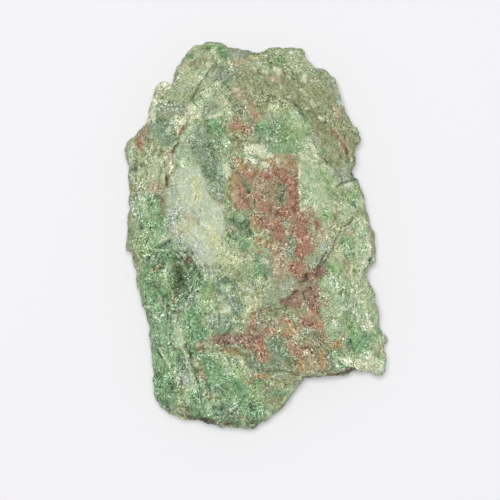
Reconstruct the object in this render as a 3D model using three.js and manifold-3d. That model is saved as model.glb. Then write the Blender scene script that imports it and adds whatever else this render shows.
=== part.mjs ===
// Raw green opal: one palm-sized slab of broken stone, lying on its back with its weathered face up.
//
// Millimetres, +Z up. +Y runs from the foot of the stone to its ragged crown. The origin is under
// the middle of the slab, on the surface that it rests on.
//
// The face is a low dome crossed by scarps, where one layer of the stone has broken away over the
// next, with a hollow and a groove worn into it. The back is a rough parting plane, flat where the
// stone rests. The walls between them are broken edges that show the layers, and flat breaks have
// knocked the lower corners off.

import * as THREE from 'three';
import { ImprovedNoise } from 'three/addons/math/ImprovedNoise.js';
import { mergeVertices } from 'three/addons/utils/BufferGeometryUtils.js';
import Module from 'manifold-3d';

const wasm = await Module();
wasm.setup();

// Driving dimensions
const WIDTH = 50; // along X
const LENGTH = 74; // along Y
const THICKNESS = 15; // along Z, at the crest of the face

// Every place on the stone is given as [u, v], in percent of WIDTH and LENGTH from the middle of
// the slab: u runs from -50 at the left edge to 50 at the right, v from -50 at the foot to 50.
const place = ([u, v]) => new THREE.Vector2((u / 100) * WIDTH, (v / 100) * LENGTH);

// The broken outline, clockwise from the left end of the crown. Each point is a corner of a break.
const OUTLINE = [
  // crown, with its notch and its eastern shoulder
  [-21.7, 49.2], [-19.0, 49.7], [-16.0, 50.0], [-12.9, 49.6], [-11.0, 48.7], [-6.8, 48.3],
  [-3.3, 47.9], [0.1, 47.2], [3.2, 47.3], [5.4, 48.2], [10.4, 48.2], [13.9, 48.3],
  [17.3, 48.3], [18.8, 47.2], [20.4, 45.6], [22.3, 43.8], [26.5, 42.6], [30.3, 40.8],
  // right edge down to the nick, and the plate below it
  [31.5, 38.4], [32.6, 35.8], [34.5, 32.4], [36.0, 30.1], [38.0, 27.6], [40.1, 25.5],
  [38.7, 23.4], [38.3, 21.3], [38.7, 18.7], [37.4, 15.8], [39.5, 14.8], [40.2, 12.2],
  [41.6, 9.4], [41.8, 7.1], [43.3, 3.9], [44.8, 0.3], [45.4, -3.3], [45.2, -6.9],
  [43.3, -9.2], [42.9, -11.3], [44.8, -14.4], [46.7, -19.6], [47.5, -23.5], [50.0, -26.7],
  // the plate's corner and its overhanging lower edge
  [49.2, -28.9], [49.8, -32.5], [48.9, -36.4], [47.1, -36.7], [43.3, -35.6], [38.7, -35.1],
  [34.5, -36.2], [29.5, -36.4], [25.0, -36.4], [20.0, -36.8], [18.5, -36.9],
  // foot
  [15.4, -39.5], [12.0, -42.6], [7.7, -45.7], [3.9, -47.8], [1.2, -48.8], [-1.1, -49.9],
  [-7.6, -50.0], [-12.9, -49.6], [-18.3, -49.4], [-22.5, -48.2], [-27.4, -47.4],
  [-33.6, -46.0], [-36.2, -44.4], [-38.7, -41.3],
  // long left edge
  [-38.9, -38.0], [-39.7, -32.3], [-40.1, -28.7], [-41.2, -24.5], [-42.4, -20.6],
  [-43.5, -16.2], [-45.0, -13.4], [-45.6, -10.3], [-46.9, -7.4], [-47.7, -5.1], [-49.8, -3.6],
  [-49.6, -0.7], [-48.9, 3.7], [-48.1, 6.5], [-48.5, 9.9], [-48.9, 14.3], [-49.0, 18.2],
  [-50.0, 22.3], [-48.9, 24.1],
  // slanting break up to the knob, and the crown's western end
  [-45.8, 26.6], [-43.1, 28.8], [-40.8, 31.1], [-40.4, 33.4], [-39.5, 36.0], [-37.8, 38.6],
  [-36.2, 39.5], [-33.6, 39.1], [-32.0, 39.9], [-31.1, 42.0], [-30.5, 44.3], [-28.2, 46.1],
  [-26.3, 47.7], [-24.0, 48.6],
];
const OVERHANG_FROM = [17.5, -36.9]; // the stretch of the outline that is undercut
const OVERHANG_TO = [48.5, -36.5];

// Scarps of the face. The ground to the right of each line, as it is walked, is lower by drop
// millimetres at the line and climbs back to the face over reach millimetres.
const SCARPS = {
  paleLens: {
    line: [
      [-17.1, 43.8], [-20.2, 40.2], [-24.0, 35.5], [-26.7, 32.4], [-29.0, 28.3], [-32.0, 23.1],
      [-33.6, 17.9], [-35.1, 13.0], [-35.5, 7.3], [-33.6, 0.8], [-29.0, -4.1], [-22.8, -8.0],
      [-16.7, -13.6],
    ],
    drop: 1.5,
    reach: 8,
  },
  rightPlate: {
    line: [
      [-20.2, -27.9], [-12.1, -25.3], [-4.9, -21.2], [2.4, -18.8], [10.4, -17.5], [16.9, -14.4],
      [21.5, -11.6], [26.5, -6.9], [30.3, -1.7], [32.6, 1.1], [36.0, 1.9], [44.1, 5.5],
    ],
    drop: 1.5,
    reach: 10,
  },
  shoulder: {
    line: [
      [37.2, 17.4], [32.6, 23.1], [28.0, 26.5], [23.0, 29.3], [20.0, 32.9], [16.9, 37.6],
      [13.9, 41.7], [10.4, 45.9],
    ],
    drop: 1.4,
    reach: 10,
  },
  crownCrack: { line: [[-6.8, 30.3], [-9.8, 34.2], [-12.9, 38.1]], drop: 0.6, reach: 7 },
  rightNick: { line: [[29.2, 11.7], [31.5, 13.0], [34.9, 14.3], [38.3, 14.8]], drop: 0.8, reach: 5 },
  footLedge: {
    line: [
      [-23.6, -30.7], [-19.4, -28.9], [-12.9, -29.4], [-6.0, -30.7], [-0.3, -33.3], [3.5, -35.3],
      [8.5, -35.4], [13.1, -35.8], [19.2, -36.9],
    ],
    drop: 2.2,
    reach: 40,
  },
};
const SCARP_SLOPE = 0.8; // run over drop, from the lip of a scarp to its floor
const SCARP_END = 2.2; // mm over which a scarp dies out past its ends
const SCARP_WANDER = 0.9; // mm that a scarp strays from its drawn line

// Hollows and swells of the face: middle, radii in mm, turn in degrees, and height in mm.
const SWELLS = [
  { at: [3.5, 12], radii: [13, 17], turn: -15, height: 1.3 }, // crest under the red stain
  { at: [-23.6, 5.2], radii: [6.5, 11], turn: 10, height: 0.7 }, // the pale lens
  { at: [-29.7, -11.5], radii: [3.6, 6.5], turn: 4, height: -2.2 }, // hollow at the lens's foot
  { at: [-29.9, -11], radii: [1.1, 3.4], turn: 4, height: -1.5 }, // its deep core
  { at: [-32, -34], radii: [1.7, 11], turn: -10, height: -1.1 }, // long groove down the foot
  { at: [10.8, 45], radii: [3.5, 1.8], turn: 0, height: -0.9 }, // notch of the crown
  { at: [12.5, -13.5], radii: [3.2, 1.8], turn: -35, height: 0.5 }, // grey facet over the scarp
];

// The face falls away from its crest to each side, by this much at the edge of the box.
const FALL = { left: 3.0, right: 3.2, crown: 3.4, foot: 3.0 };
const EDGE_WIDTH = 2.6; // mm of chipped bevel inside the outline
const EDGE_DROP = 1.5; // mm that the bevel falls

// Grain of the break
const FACET_SIZE = 7.5; // mm, mean size of the flat breaks on the face
const FACET_TILT = 0.1; // rise over run of a flat break
const LUMPS = [{ size: 5.2, height: 0.5 }, { size: 2.4, height: 0.34 }];
const FIBRES = { across: 1.7, along: 9, height: 0.5 }; // streaks of the lower left
const LENS_SMOOTHNESS = 0.8; // share of the grain that the pale lens lacks

// Back
const BACK_LUMPS = [{ size: 12, height: 2.2 }, { size: 5, height: 1.0 }];
const BACK_CURL = 1.6; // mm that the back rises at the outline
const BACK_CURL_WIDTH = 9; // mm over which it rises
const BACK_FLATTEN = 0.2; // mm taken off the back's relief, so that its lows meet one plane
const BACK_SEAT = { radius: 10, depth: 2 }; // keeps that plane whole under the middle

// Walls
const WIDEST = { height: 0.47 * THICKNESS, sway: 2.6 }; // where the wall reaches the outline
const TAPER = { below: 1.7, above: 0.9 }; // mm of lean at the base and at the lip
const WALL_LAYER = 1.5; // mm, thickness of the stone's layers
const LAYER_SHIFT = 1.9; // mm, how far one layer can break back from the next
const RAGGEDNESS = 0.8; // mm, how far one layer's own edge wanders
const OVERHANG_INSET = 4; // mm that the plate's lower edge is undercut by

// Flat breaks across the lower corners: bearing and lean of each plane in degrees, and how far it
// bites into the base at that bearing, in mm.
const BREAKS = [
  { bearing: 176, lean: 32, bite: 3.0 }, // long left edge
  { bearing: 203, lean: 50, bite: 4.2 },
  { bearing: 138, lean: 40, bite: 4.6 }, // slanting break under the knob
  { bearing: 100, lean: 33, bite: 3.6 }, // crown
  { bearing: 64, lean: 47, bite: 4.8 },
  { bearing: 22, lean: 36, bite: 3.4 }, // right edge
  { bearing: -9, lean: 52, bite: 3.2 },
  { bearing: -40, lean: 38, bite: 4.4 }, // under the plate's corner
  { bearing: -98, lean: 30, bite: 3.6 }, // foot
  { bearing: -126, lean: 46, bite: 5.2 },
];

// Grid of the relief, in mm
const FACE_GRID = 1.35;
const BACK_GRID = 2.3;

const clamp = THREE.MathUtils.clamp;
const smoothstep = THREE.MathUtils.smoothstep;
const noise = new ImprovedNoise();
const outline = OUTLINE.map(place);

// A repeatable number from 0 to 1 for each cell of a lattice.
function scatter(i, j, salt) {
  const wave = Math.sin(i * 127.1 + j * 311.7 + salt * 74.7) * 43758.5453;
  return wave - Math.floor(wave);
}

// Nearest place on a chain of points: how far off it is, how far to the right of the walk point
// lies (negative on the left), and how far past an open end.
function nearestOnLine(point, line) {
  let best = { distance: Infinity, right: 0, past: 0 };
  for (let i = 0; i + 1 < line.length; i++) {
    const along = line[i + 1].clone().sub(line[i]);
    const offset = point.clone().sub(line[i]);
    const share = offset.dot(along) / along.lengthSq();
    const held = clamp(share, 0, 1);
    const distance = point.distanceTo(line[i].clone().addScaledVector(along, held));
    if (distance >= best.distance) continue;
    const beyond = (i === 0 && share < 0) || (i + 2 === line.length && share > 1);
    const square = (along.y * offset.x - along.x * offset.y) / along.length();
    best = {
      distance,
      right: beyond ? square : Math.sign(square) * distance,
      past: beyond ? Math.abs(share - held) * along.length() : 0,
    };
  }
  return best;
}

const closedOutline = [...outline, outline[0]];
const edgeDistance = (point) => nearestOnLine(point, closedOutline).distance;

// Share, from 1 at the middle to 0 at the rim, of a turned ellipse at a point.
function ellipseShare(point, { at, radii, turn }) {
  const offset = point.clone().sub(place(at));
  offset.rotateAround(new THREE.Vector2(), -THREE.MathUtils.degToRad(turn));
  const reach = Math.hypot(offset.x / radii[0], offset.y / radii[1]);
  return 1 - smoothstep(reach, 0, 1);
}

const scarps = Object.values(SCARPS).map((scarp) => ({ ...scarp, line: scarp.line.map(place) }));

function scarpDrop(point) {
  const strayed = new THREE.Vector2(
    point.x + SCARP_WANDER * noise.noise(point.x / 3, point.y / 3, 12.4),
    point.y + SCARP_WANDER * noise.noise(point.x / 3, point.y / 3, 17.8)
  );
  let total = 0;
  for (const { line, drop, reach } of scarps) {
    const { distance, right, past } = nearestOnLine(strayed, line);
    const run = SCARP_SLOPE * drop;
    const step = smoothstep(right, -run / 2, run / 2);
    total += drop * step * Math.exp(-distance / reach) * Math.exp(-((past / SCARP_END) ** 2));
  }
  return total;
}

// Flat breaks: each cell of a jittered lattice is a plane with its own tilt.
function facets(point) {
  const column = Math.floor(point.x / FACET_SIZE);
  const row = Math.floor(point.y / FACET_SIZE);
  let nearest = { distance: Infinity, height: 0 };
  for (let i = column - 1; i <= column + 1; i++) {
    for (let j = row - 1; j <= row + 1; j++) {
      const seedX = (i + scatter(i, j, 1)) * FACET_SIZE;
      const seedY = (j + scatter(i, j, 2)) * FACET_SIZE;
      const distance = Math.hypot(point.x - seedX, point.y - seedY);
      if (distance >= nearest.distance) continue;
      const tiltX = (2 * scatter(i, j, 3) - 1) * FACET_TILT;
      const tiltY = (2 * scatter(i, j, 4) - 1) * FACET_TILT;
      nearest = { distance, height: (point.x - seedX) * tiltX + (point.y - seedY) * tiltY };
    }
  }
  return nearest.height;
}

const lumps = (point, grains, salt) =>
  grains.reduce(
    (sum, { size, height }) => sum + height * noise.noise(point.x / size, point.y / size, salt + size),
    0
  );

// Streaks run down the lower left of the face, fading out towards its middle and its crown.
function fibres(point) {
  const zone =
    (1 - smoothstep(point.x, -0.2 * WIDTH, 0.02 * WIDTH)) *
    (1 - smoothstep(point.y, -0.12 * LENGTH, 0.06 * LENGTH));
  const streak = noise.noise(point.x / FIBRES.across, point.y / FIBRES.along, 3.7);
  return zone * FIBRES.height * streak;
}

function faceHeight(x, y) {
  const point = new THREE.Vector2(x, y);
  const across = (2 * x) / WIDTH;
  const along = (2 * y) / LENGTH;
  const fall =
    (across < 0 ? FALL.left : FALL.right) * across ** 2 + (along < 0 ? FALL.foot : FALL.crown) * along ** 2;
  const swell = SWELLS.reduce((sum, each) => sum + each.height * ellipseShare(point, each), 0);
  const grain = 1 - LENS_SMOOTHNESS * ellipseShare(point, SWELLS[1]);
  const edge = 1 - clamp(edgeDistance(point) / EDGE_WIDTH, 0, 1);
  const chipped = EDGE_DROP * (1 + noise.noise(x / 4, y / 4, 9.1)) * edge ** 2;
  const relief = grain * (facets(point) + lumps(point, LUMPS, 0.3)) + fibres(point);
  return THICKNESS - fall + swell - scarpDrop(point) - chipped + relief;
}

// The back is one parting plane at z = 0 wherever its relief would reach below it.
function backHeight(x, y) {
  const point = new THREE.Vector2(x, y);
  const curl = BACK_CURL * (1 - smoothstep(edgeDistance(point), 0, BACK_CURL_WIDTH));
  const seat = BACK_SEAT.depth * Math.exp(-((point.length() / BACK_SEAT.radius) ** 2));
  const relief = lumps(point, BACK_LUMPS, 21.5) + 1.5 * facets(point);
  return Math.max(0, relief + curl - BACK_FLATTEN - seat);
}

// A block over the whole box whose upper and lower sides follow the two given height fields.
function reliefBlock(grid, upper, lower) {
  const margin = 3;
  const width = WIDTH + 2 * margin;
  const length = LENGTH + 2 * margin;
  const block = new THREE.BoxGeometry(
    width, length, 1, Math.round(width / grid), Math.round(length / grid), 1
  );
  const position = block.getAttribute('position');
  for (let i = 0; i < position.count; i++) {
    const height = position.getZ(i) > 0 ? upper : lower;
    position.setZ(i, height(position.getX(i), position.getY(i)));
  }
  return block;
}

// How far the wall stands in from the outline at a height, for a point of the outline. It is
// nothing at the wall's widest, and more in the layers above and below.
function wallInset(point, z) {
  const layer = Math.round(z / WALL_LAYER);
  const widest = WIDEST.height + WIDEST.sway * noise.noise(point.x / 13, point.y / 13, 2.2);
  const lean = 1 + noise.noise(point.x / 16, point.y / 16, 5.5);
  const rise = z > widest ? (z - widest) / (THICKNESS - widest) : (widest - z) / widest;
  const taper = lean * (z > widest ? TAPER.above : TAPER.below) * rise;
  const shift = LAYER_SHIFT * Math.max(0, noise.noise(point.x / 11, point.y / 11, 3.3 * layer));
  const ragged = RAGGEDNESS * Math.max(0, noise.noise(point.x / 3.5, point.y / 3.5, 1.9 * layer));
  const undercut = z < widest && isOverhang(point) ? OVERHANG_INSET * rise ** 0.5 : 0;
  return taper + undercut + (shift + ragged) * clamp(Math.abs(z - widest) / WALL_LAYER, 0, 1);
}

const overhangStart = place(OVERHANG_FROM).angle();
const overhangEnd = place(OVERHANG_TO).angle();
const isOverhang = (point) => point.angle() > overhangStart && point.angle() < overhangEnd;

// The broken walls: the outline extruded in layers, each drawn in towards the middle by its own
// ragged amount. Moving points only along their own ray keeps every layer simple.
function wallBlock() {
  const spare = 2; // layers above the crest and below the base
  const layers = Math.ceil(THICKNESS / WALL_LAYER) + 2 * spare;
  const wall = new THREE.ExtrudeGeometry(new THREE.Shape(outline), {
    depth: layers * WALL_LAYER,
    steps: layers,
    bevelEnabled: false,
  });
  wall.translate(0, 0, -spare * WALL_LAYER);
  const position = wall.getAttribute('position');
  for (let i = 0; i < position.count; i++) {
    const point = new THREE.Vector2(position.getX(i), position.getY(i));
    const inset = wallInset(point, clamp(position.getZ(i), 0, THICKNESS));
    point.setLength(point.length() - inset);
    position.setXY(i, point.x, point.y);
  }
  return wall;
}

// How far the outline lies from the middle at a bearing.
function outlineReach(bearing) {
  const ray = new THREE.Vector2(Math.cos(bearing), Math.sin(bearing));
  const ahead = outline.filter((point) => point.dot(ray) > 0);
  const nearest = ahead.reduce((a, b) => (Math.abs(a.cross(ray)) < Math.abs(b.cross(ray)) ? a : b));
  return nearest.length();
}

// A big block that lies beyond the plane of a flat break.
function breakBlock({ bearing, lean, bite }) {
  const turn = THREE.MathUtils.degToRad(bearing);
  const dip = THREE.MathUtils.degToRad(lean);
  const reach = outlineReach(turn) - bite;
  const size = 2 * LENGTH;
  const outwards = new THREE.Vector3(
    Math.cos(turn) * Math.cos(dip), Math.sin(turn) * Math.cos(dip), -Math.sin(dip)
  );
  const foot = new THREE.Vector3(Math.cos(turn) * reach, Math.sin(turn) * reach, 0);
  const block = new THREE.Object3D();
  block.lookAt(outwards);
  block.position.copy(foot.addScaledVector(outwards, size / 2));
  block.updateMatrix();
  return new THREE.BoxGeometry(size, size, size).applyMatrix4(block.matrix);
}

// A closed geometry as a solid that can be cut, and back again.
function toSolid(geometry) {
  const bare = geometry.index ? geometry.toNonIndexed() : geometry.clone();
  bare.deleteAttribute('normal');
  bare.deleteAttribute('uv');
  const merged = mergeVertices(bare, 1e-4);
  return new wasm.Manifold(
    new wasm.Mesh({
      numProp: 3,
      vertProperties: merged.getAttribute('position').array,
      triVerts: new Uint32Array(merged.index.array),
    })
  );
}

function toGeometry(solid) {
  const { vertProperties, triVerts } = solid.getMesh();
  return new THREE.BufferGeometry()
    .setAttribute('position', new THREE.BufferAttribute(new Float32Array(vertProperties), 3))
    .setIndex(new THREE.BufferAttribute(new Uint32Array(triVerts), 1));
}

// Scales a geometry to the driving dimensions and sets it on z = 0 over the origin.
function fitToBox(geometry) {
  geometry.computeBoundingBox();
  const size = geometry.boundingBox.getSize(new THREE.Vector3());
  const middle = geometry.boundingBox.getCenter(new THREE.Vector3());
  geometry.translate(-middle.x, -middle.y, -geometry.boundingBox.min.z);
  geometry.scale(WIDTH / size.x, LENGTH / size.y, THICKNESS / size.z);
  return geometry;
}

function opalSlab() {
  const far = THICKNESS + 10;
  const underFace = toSolid(reliefBlock(FACE_GRID, faceHeight, () => -far));
  const overBack = toSolid(reliefBlock(BACK_GRID, () => far, backHeight));
  const whole = toSolid(wallBlock()).intersect(underFace).intersect(overBack);
  const slab = BREAKS.reduce((solid, each) => solid.subtract(toSolid(breakBlock(each))), whole);
  const geometry = fitToBox(toGeometry(slab));
  geometry.computeVertexNormals();
  return geometry;
}

const greenStone = new THREE.MeshStandardMaterial({
  color: new THREE.Color(0.6, 0.66, 0.5),
  roughness: 0.6,
  metalness: 0,
  flatShading: true,
});

const opal = new THREE.Mesh(opalSlab(), greenStone);
opal.name = 'opal';

const stone = new THREE.Group();
stone.add(opal);

export default stone;
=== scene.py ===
# Raw green opal: a palm-sized slab of rough stone, lying on its back on a pale table.
# Places on the stone are in percent of its width and length from its middle. A brush width is
# the way from the middle of a stroke to its edge, in mm.

import bpy
import numpy as np
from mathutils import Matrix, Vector


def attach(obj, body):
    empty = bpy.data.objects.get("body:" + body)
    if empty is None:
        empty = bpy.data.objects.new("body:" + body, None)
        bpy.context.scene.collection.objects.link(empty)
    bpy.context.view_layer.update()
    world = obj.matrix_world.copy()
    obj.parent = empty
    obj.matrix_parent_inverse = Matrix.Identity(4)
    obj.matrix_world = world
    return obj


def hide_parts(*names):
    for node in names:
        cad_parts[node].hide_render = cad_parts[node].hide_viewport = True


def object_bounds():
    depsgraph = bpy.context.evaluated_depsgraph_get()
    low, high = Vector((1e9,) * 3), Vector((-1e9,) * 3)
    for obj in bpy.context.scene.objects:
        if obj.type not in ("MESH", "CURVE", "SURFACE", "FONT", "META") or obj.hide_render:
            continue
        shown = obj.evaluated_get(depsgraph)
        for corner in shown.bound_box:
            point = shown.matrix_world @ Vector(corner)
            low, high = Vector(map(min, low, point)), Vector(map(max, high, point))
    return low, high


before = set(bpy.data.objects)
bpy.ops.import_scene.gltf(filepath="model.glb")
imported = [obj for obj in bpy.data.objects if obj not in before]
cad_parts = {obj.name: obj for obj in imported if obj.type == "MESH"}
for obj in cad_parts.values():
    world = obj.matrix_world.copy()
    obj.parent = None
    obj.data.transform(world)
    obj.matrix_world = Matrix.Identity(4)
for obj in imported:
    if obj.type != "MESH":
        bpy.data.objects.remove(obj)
cadBox = [list(corner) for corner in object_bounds()]
bpy.ops.object.select_all(action="DESELECT")

mm = 0.001
low, high = (Vector(corner) for corner in cadBox)
stoneWidth, stoneLength, stoneThickness = high - low
print("frame loaded,", [round(side / mm, 1) for side in high - low], "mm")


def rise(values, start, end):  # 0 below start, 1 above end, smooth between
    share = np.clip((values - start) / (end - start), 0, 1)
    return share * share * (3 - 2 * share)


def lineDistance(points, walk):  # how far each point lies from a line of places
    spots = [np.array([u / 100 * stoneWidth, v / 100 * stoneLength]) for u, v in walk]
    nearest = np.full(len(points), np.inf)
    for first, second in zip(spots, spots[1:] or spots):
        along = second - first
        share = np.clip((points - first) @ along / max(along @ along, 1e-12), 0, 1)
        away = points - first - share[:, None] * along
        nearest = np.minimum(nearest, np.hypot(away[:, 0], away[:, 1]))
    return nearest


def brushed(points, strokes, core):  # 1 inside the core share of each stroke, 0.5 at its edge
    cover = np.zeros(len(points))
    for width, strength, walk in strokes:
        share = lineDistance(points, walk) / (width * mm)
        cover = np.maximum(cover, strength * (1 - rise(share, core, 2 - core)))
    return cover


# lines carved into the face, also darkened as hairlines and as painted shadow of their steps: width,
# strength, walk
cracks = [
    (0.27, 0.6, [(-16.75, 43.75), (-19, 41.75), (-21, 39.75), (-22.5, 38), (-24, 35.75),
                 (-25.5, 34.75), (-26.75, 33)]),  # left crack, top to bottom
    (0.31, 0.9, [(-26.75, 33), (-26.25, 30.25), (-26.75, 28.75), (-28.25, 27.25), (-29.75, 25.25)]),
    (0.23, 0.9, [(-29.75, 23.75), (-31, 22.75), (-31.75, 21.75), (-32, 20.25)]),
    (0.19, 0.45, [(-32, 20.25), (-32, 18.75), (-31, 18)]),
    (0.27, 0.9, [(-31, 18), (-31.75, 16.5), (-32.75, 15.5), (-33.25, 14.75)]),
    (0.42, 1.4, [(-34, 15.25), (-34, 13.25)]),
    (0.19, 0.4, [(41, 6), (37.5, 4.5)]),  # over the right plate
    (0.21, 1, [(37.5, 4.5), (35.75, 3.25), (34.25, 2.5), (32.5, 2), (32.25, 0.75)]),
    (0.19, 0.45, [(32.25, 0.75), (31.5, -0.5), (30, -1.75), (29.25, -3.75)]),
    (0.21, 0.9, [(29.25, -3.75), (27.75, -5.75), (25.75, -7), (24.25, -8.5)]),
    (0.19, 0.7, [(26.75, -4.5), (25, -6.5), (24.25, -7.5)]),  # its twins
    (0.19, 0.6, [(23.75, -6.25), (23.75, -8)]),
    (0.29, 0.7, [(20, -10.75), (18, -11.75)]),
    (0.23, 0.8, [(15.75, -14.25), (13.5, -15.5), (11.25, -16.75), (9.75, -17.25)]),
    (0.19, 0.5, [(18, -15), (19.25, -17.75)]),
    (0.21, 0.6, [(38.75, 14.75), (36, 14), (33, 13.25), (30.75, 12.25)]),  # nick of the right edge
    (0.23, 0.8, [(2.5, -35), (6.25, -35.75), (10.75, -35), (14.75, -36), (17.75, -36.5)]),  # over the foot
    (0.29, 0.8, [(-34.75, -2), (-32.5, -1.25)]),  # folds round the hollow
    (0.29, 0.7, [(-40.5, -5.75), (-38.5, -3.75), (-35.5, -2.5)]),
    (0.27, 0.7, [(-37.5, -7), (-35.5, -4.75), (-32.75, -3.5)]),
    (0.29, 0.8, [(-30.5, -6), (-27.5, -7), (-26, -8.5)]),
    (0.29, 0.8, [(-26.25, -12), (-25.25, -9.75), (-23.25, -8.25)]),
    (0.29, 0.8, [(-24.75, -12.5), (-23.25, -10.5), (-21.25, -9.5)]),
    (0.29, 0.8, [(-27.5, -16.75), (-25.25, -14.5), (-21.75, -12.75)]),
    (0.27, 0.5, [(-24.5, -4.75), (-22.5, -6.5), (-20.25, -8.5), (-19.75, -10)]),  # under the lens
    (0.34, 1, [(-27.5, -4.5), (-25.25, -4.5)]),
    (0.34, 0.8, [(-34.25, -15.75), (-33.5, -18.75), (-33.25, -22.5)]),  # strands of the foot
    (0.29, 0.5, [(-26.75, -28.75), (-24.5, -31), (-22.5, -34.75), (-21.25, -38)]),
    (0.29, 0.7, [(-28.5, -36.75), (-28.25, -39.5), (-27.75, -44.75)]),
    (0.29, 0.3, [(-37.5, -30.25), (-35, -33.75), (-33.5, -37.5)]),
    (0.23, 0.35, [(-20.5, 17.5), (-19.5, 14.75), (-19, 11.75), (-17, 9.5),
                  (-11.75, 8.5)]),  # right of the pale lens
]
ledges = [
    (0.67, 1, [(10.75, 41.75), (13, 39.25), (14.25, 36), (17, 33), (20.75, 29.25), (27.75, 24.75),
               (34.5, 20), (38.25, 16.25)]),  # step down to the right shoulder
    (0.67, 1, [(-32, -0.75), (-26.75, -3.25), (-23.5, -4.75), (-20.5, -7), (-19, -10)]),  # under the lens
    (0.57, 0.9, [(-39.75, -7), (-37.5, -3.75), (-32.75, -1.75)]),  # folds round the hollow
    (0.57, 0.9, [(-32, -3.75), (-27.5, -5.25), (-22.75, -9), (-21.25, -11.5)]),
    (0.50, 0.8, [(-36.5, -7.5), (-33.5, -6), (-29.75, -7)]),
    (0.57, 0.8, [(-41.25, -10.5), (-39.75, -15.75), (-36.5, -19.75)]),
    (0.57, 0.8, [(16.25, 20), (16.5, 12.75), (16.5, 6)]),  # rim of the red
    (0.50, 0.7, [(-10.5, 15.25), (-10.25, 7.5)]),
    (0.50, 0.7, [(-1.5, 5.5), (-0.25, -1.25), (2.5, -4.75)]),
    (0.57, 0.8, [(7, -16.25), (9.25, -12), (16.25, -11.5)]),  # round the grey break
    (0.57, 0.8, [(-1.5, -21.5), (2.5, -19.75), (6.25, -19)]),
    (0.50, 0.7, [(-4.5, 37), (-6, 39.75), (-3.75, 41.75)]),
    (0.50, 0.7, [(4, 47), (6.25, 45.25), (10.75, 46)]),
]
hollows = [
    (0.61, 0.85, [(-29.75, -9), (-29, -13.75)]),  # the hollow
    (0.57, 0.6, [(-30.5, -13.75), (-31, -16.75)]),
    (1.91, 0.25, [(-29.75, -9.5), (-28.25, -14.25)]),
    (0.57, 0.5, [(-38.5, -8.5), (-35.75, -7.75)]),
    (0.48, 0.6, [(-26, -4.75), (-26, -7)]),
    (0.48, 0.6, [(-31.25, -19.75), (-30, -19.5)]),
    (0.57, 0.5, [(-47, 18.5), (-46.5, 17)]),
    (0.57, 0.3, [(4, -10.75), (4.75, -11.25)]),
    (0.38, 0.5, [(43.25, -6.5), (43.75, -7.25)]),
    (0.96, 0.4, [(-4.5, 2), (-3, 0.25)]),
    (0.96, 0.3, [(-18, 17), (-16.75, 14.25)]),
    (0.57, 0.35, [(18, -11.75), (20, -10.75)]),
]
# forms of the edge, pushed out of the walls and into them
nubs = [
    (1.53, 1.2, [(-38.25, 37.5), (-35.5, 39.75)]),  # knob of the upper left
    (1.15, 0.6, [(-39.75, 36), (-40, 33.5)]),
    (1.34, 1.1, [(39, 26.5), (40.25, 25.25)]),  # nub of the right shoulder
    (1.15, 0.4, [(41.5, 10.25), (41.5, 8.5)]),
    (0.77, 1, [(50.25, -27.25)]),  # knob of the plate
    (1.15, 3, [(48.25, -37.25), (49, -36.25)]),  # corner of the plate
    (0.96, 0.4, [(-50.5, -3.75)]),
    (0.96, 0.45, [(44.75, -3.75), (44.75, -6.5)]),  # right edge over its waist
    (1.53, 0.4, [(25.25, -36.5), (33.75, -36.5)]),  # lip of the plate
    (0.96, 0.7, [(36, -36.25), (38.75, -36)]),
]
nicks = [
    (1.15, 1.1, [(21.5, 45), (20.25, 45.25)]),  # upper right
    (2.30, 0.6, [(32.25, 39.25), (34.25, 34)]),
    (1.15, 0.5, [(38, 21.5), (38.25, 18)]),
    (1.15, 0.9, [(37.5, 17.5), (37.5, 15.25)]),  # notch under the shoulder
    (1.53, 0.6, [(-44, 28), (-46.5, 26.25)]),
    (1.15, 0.7, [(-47.75, -5.25), (-47, -9.5)]),  # under the left bump
    (1.15, 0.7, [(43, -9.25), (43, -12)]),  # waist of the right side
    (0.96, 0.6, [(48.75, -24.75), (49.75, -25.75)]),
    (1.72, 0.5, [(39.5, -35.75), (43, -36)]),  # under the plate
    (0.96, 0.5, [(38, 22.5), (38, 20.5)]),
]

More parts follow.
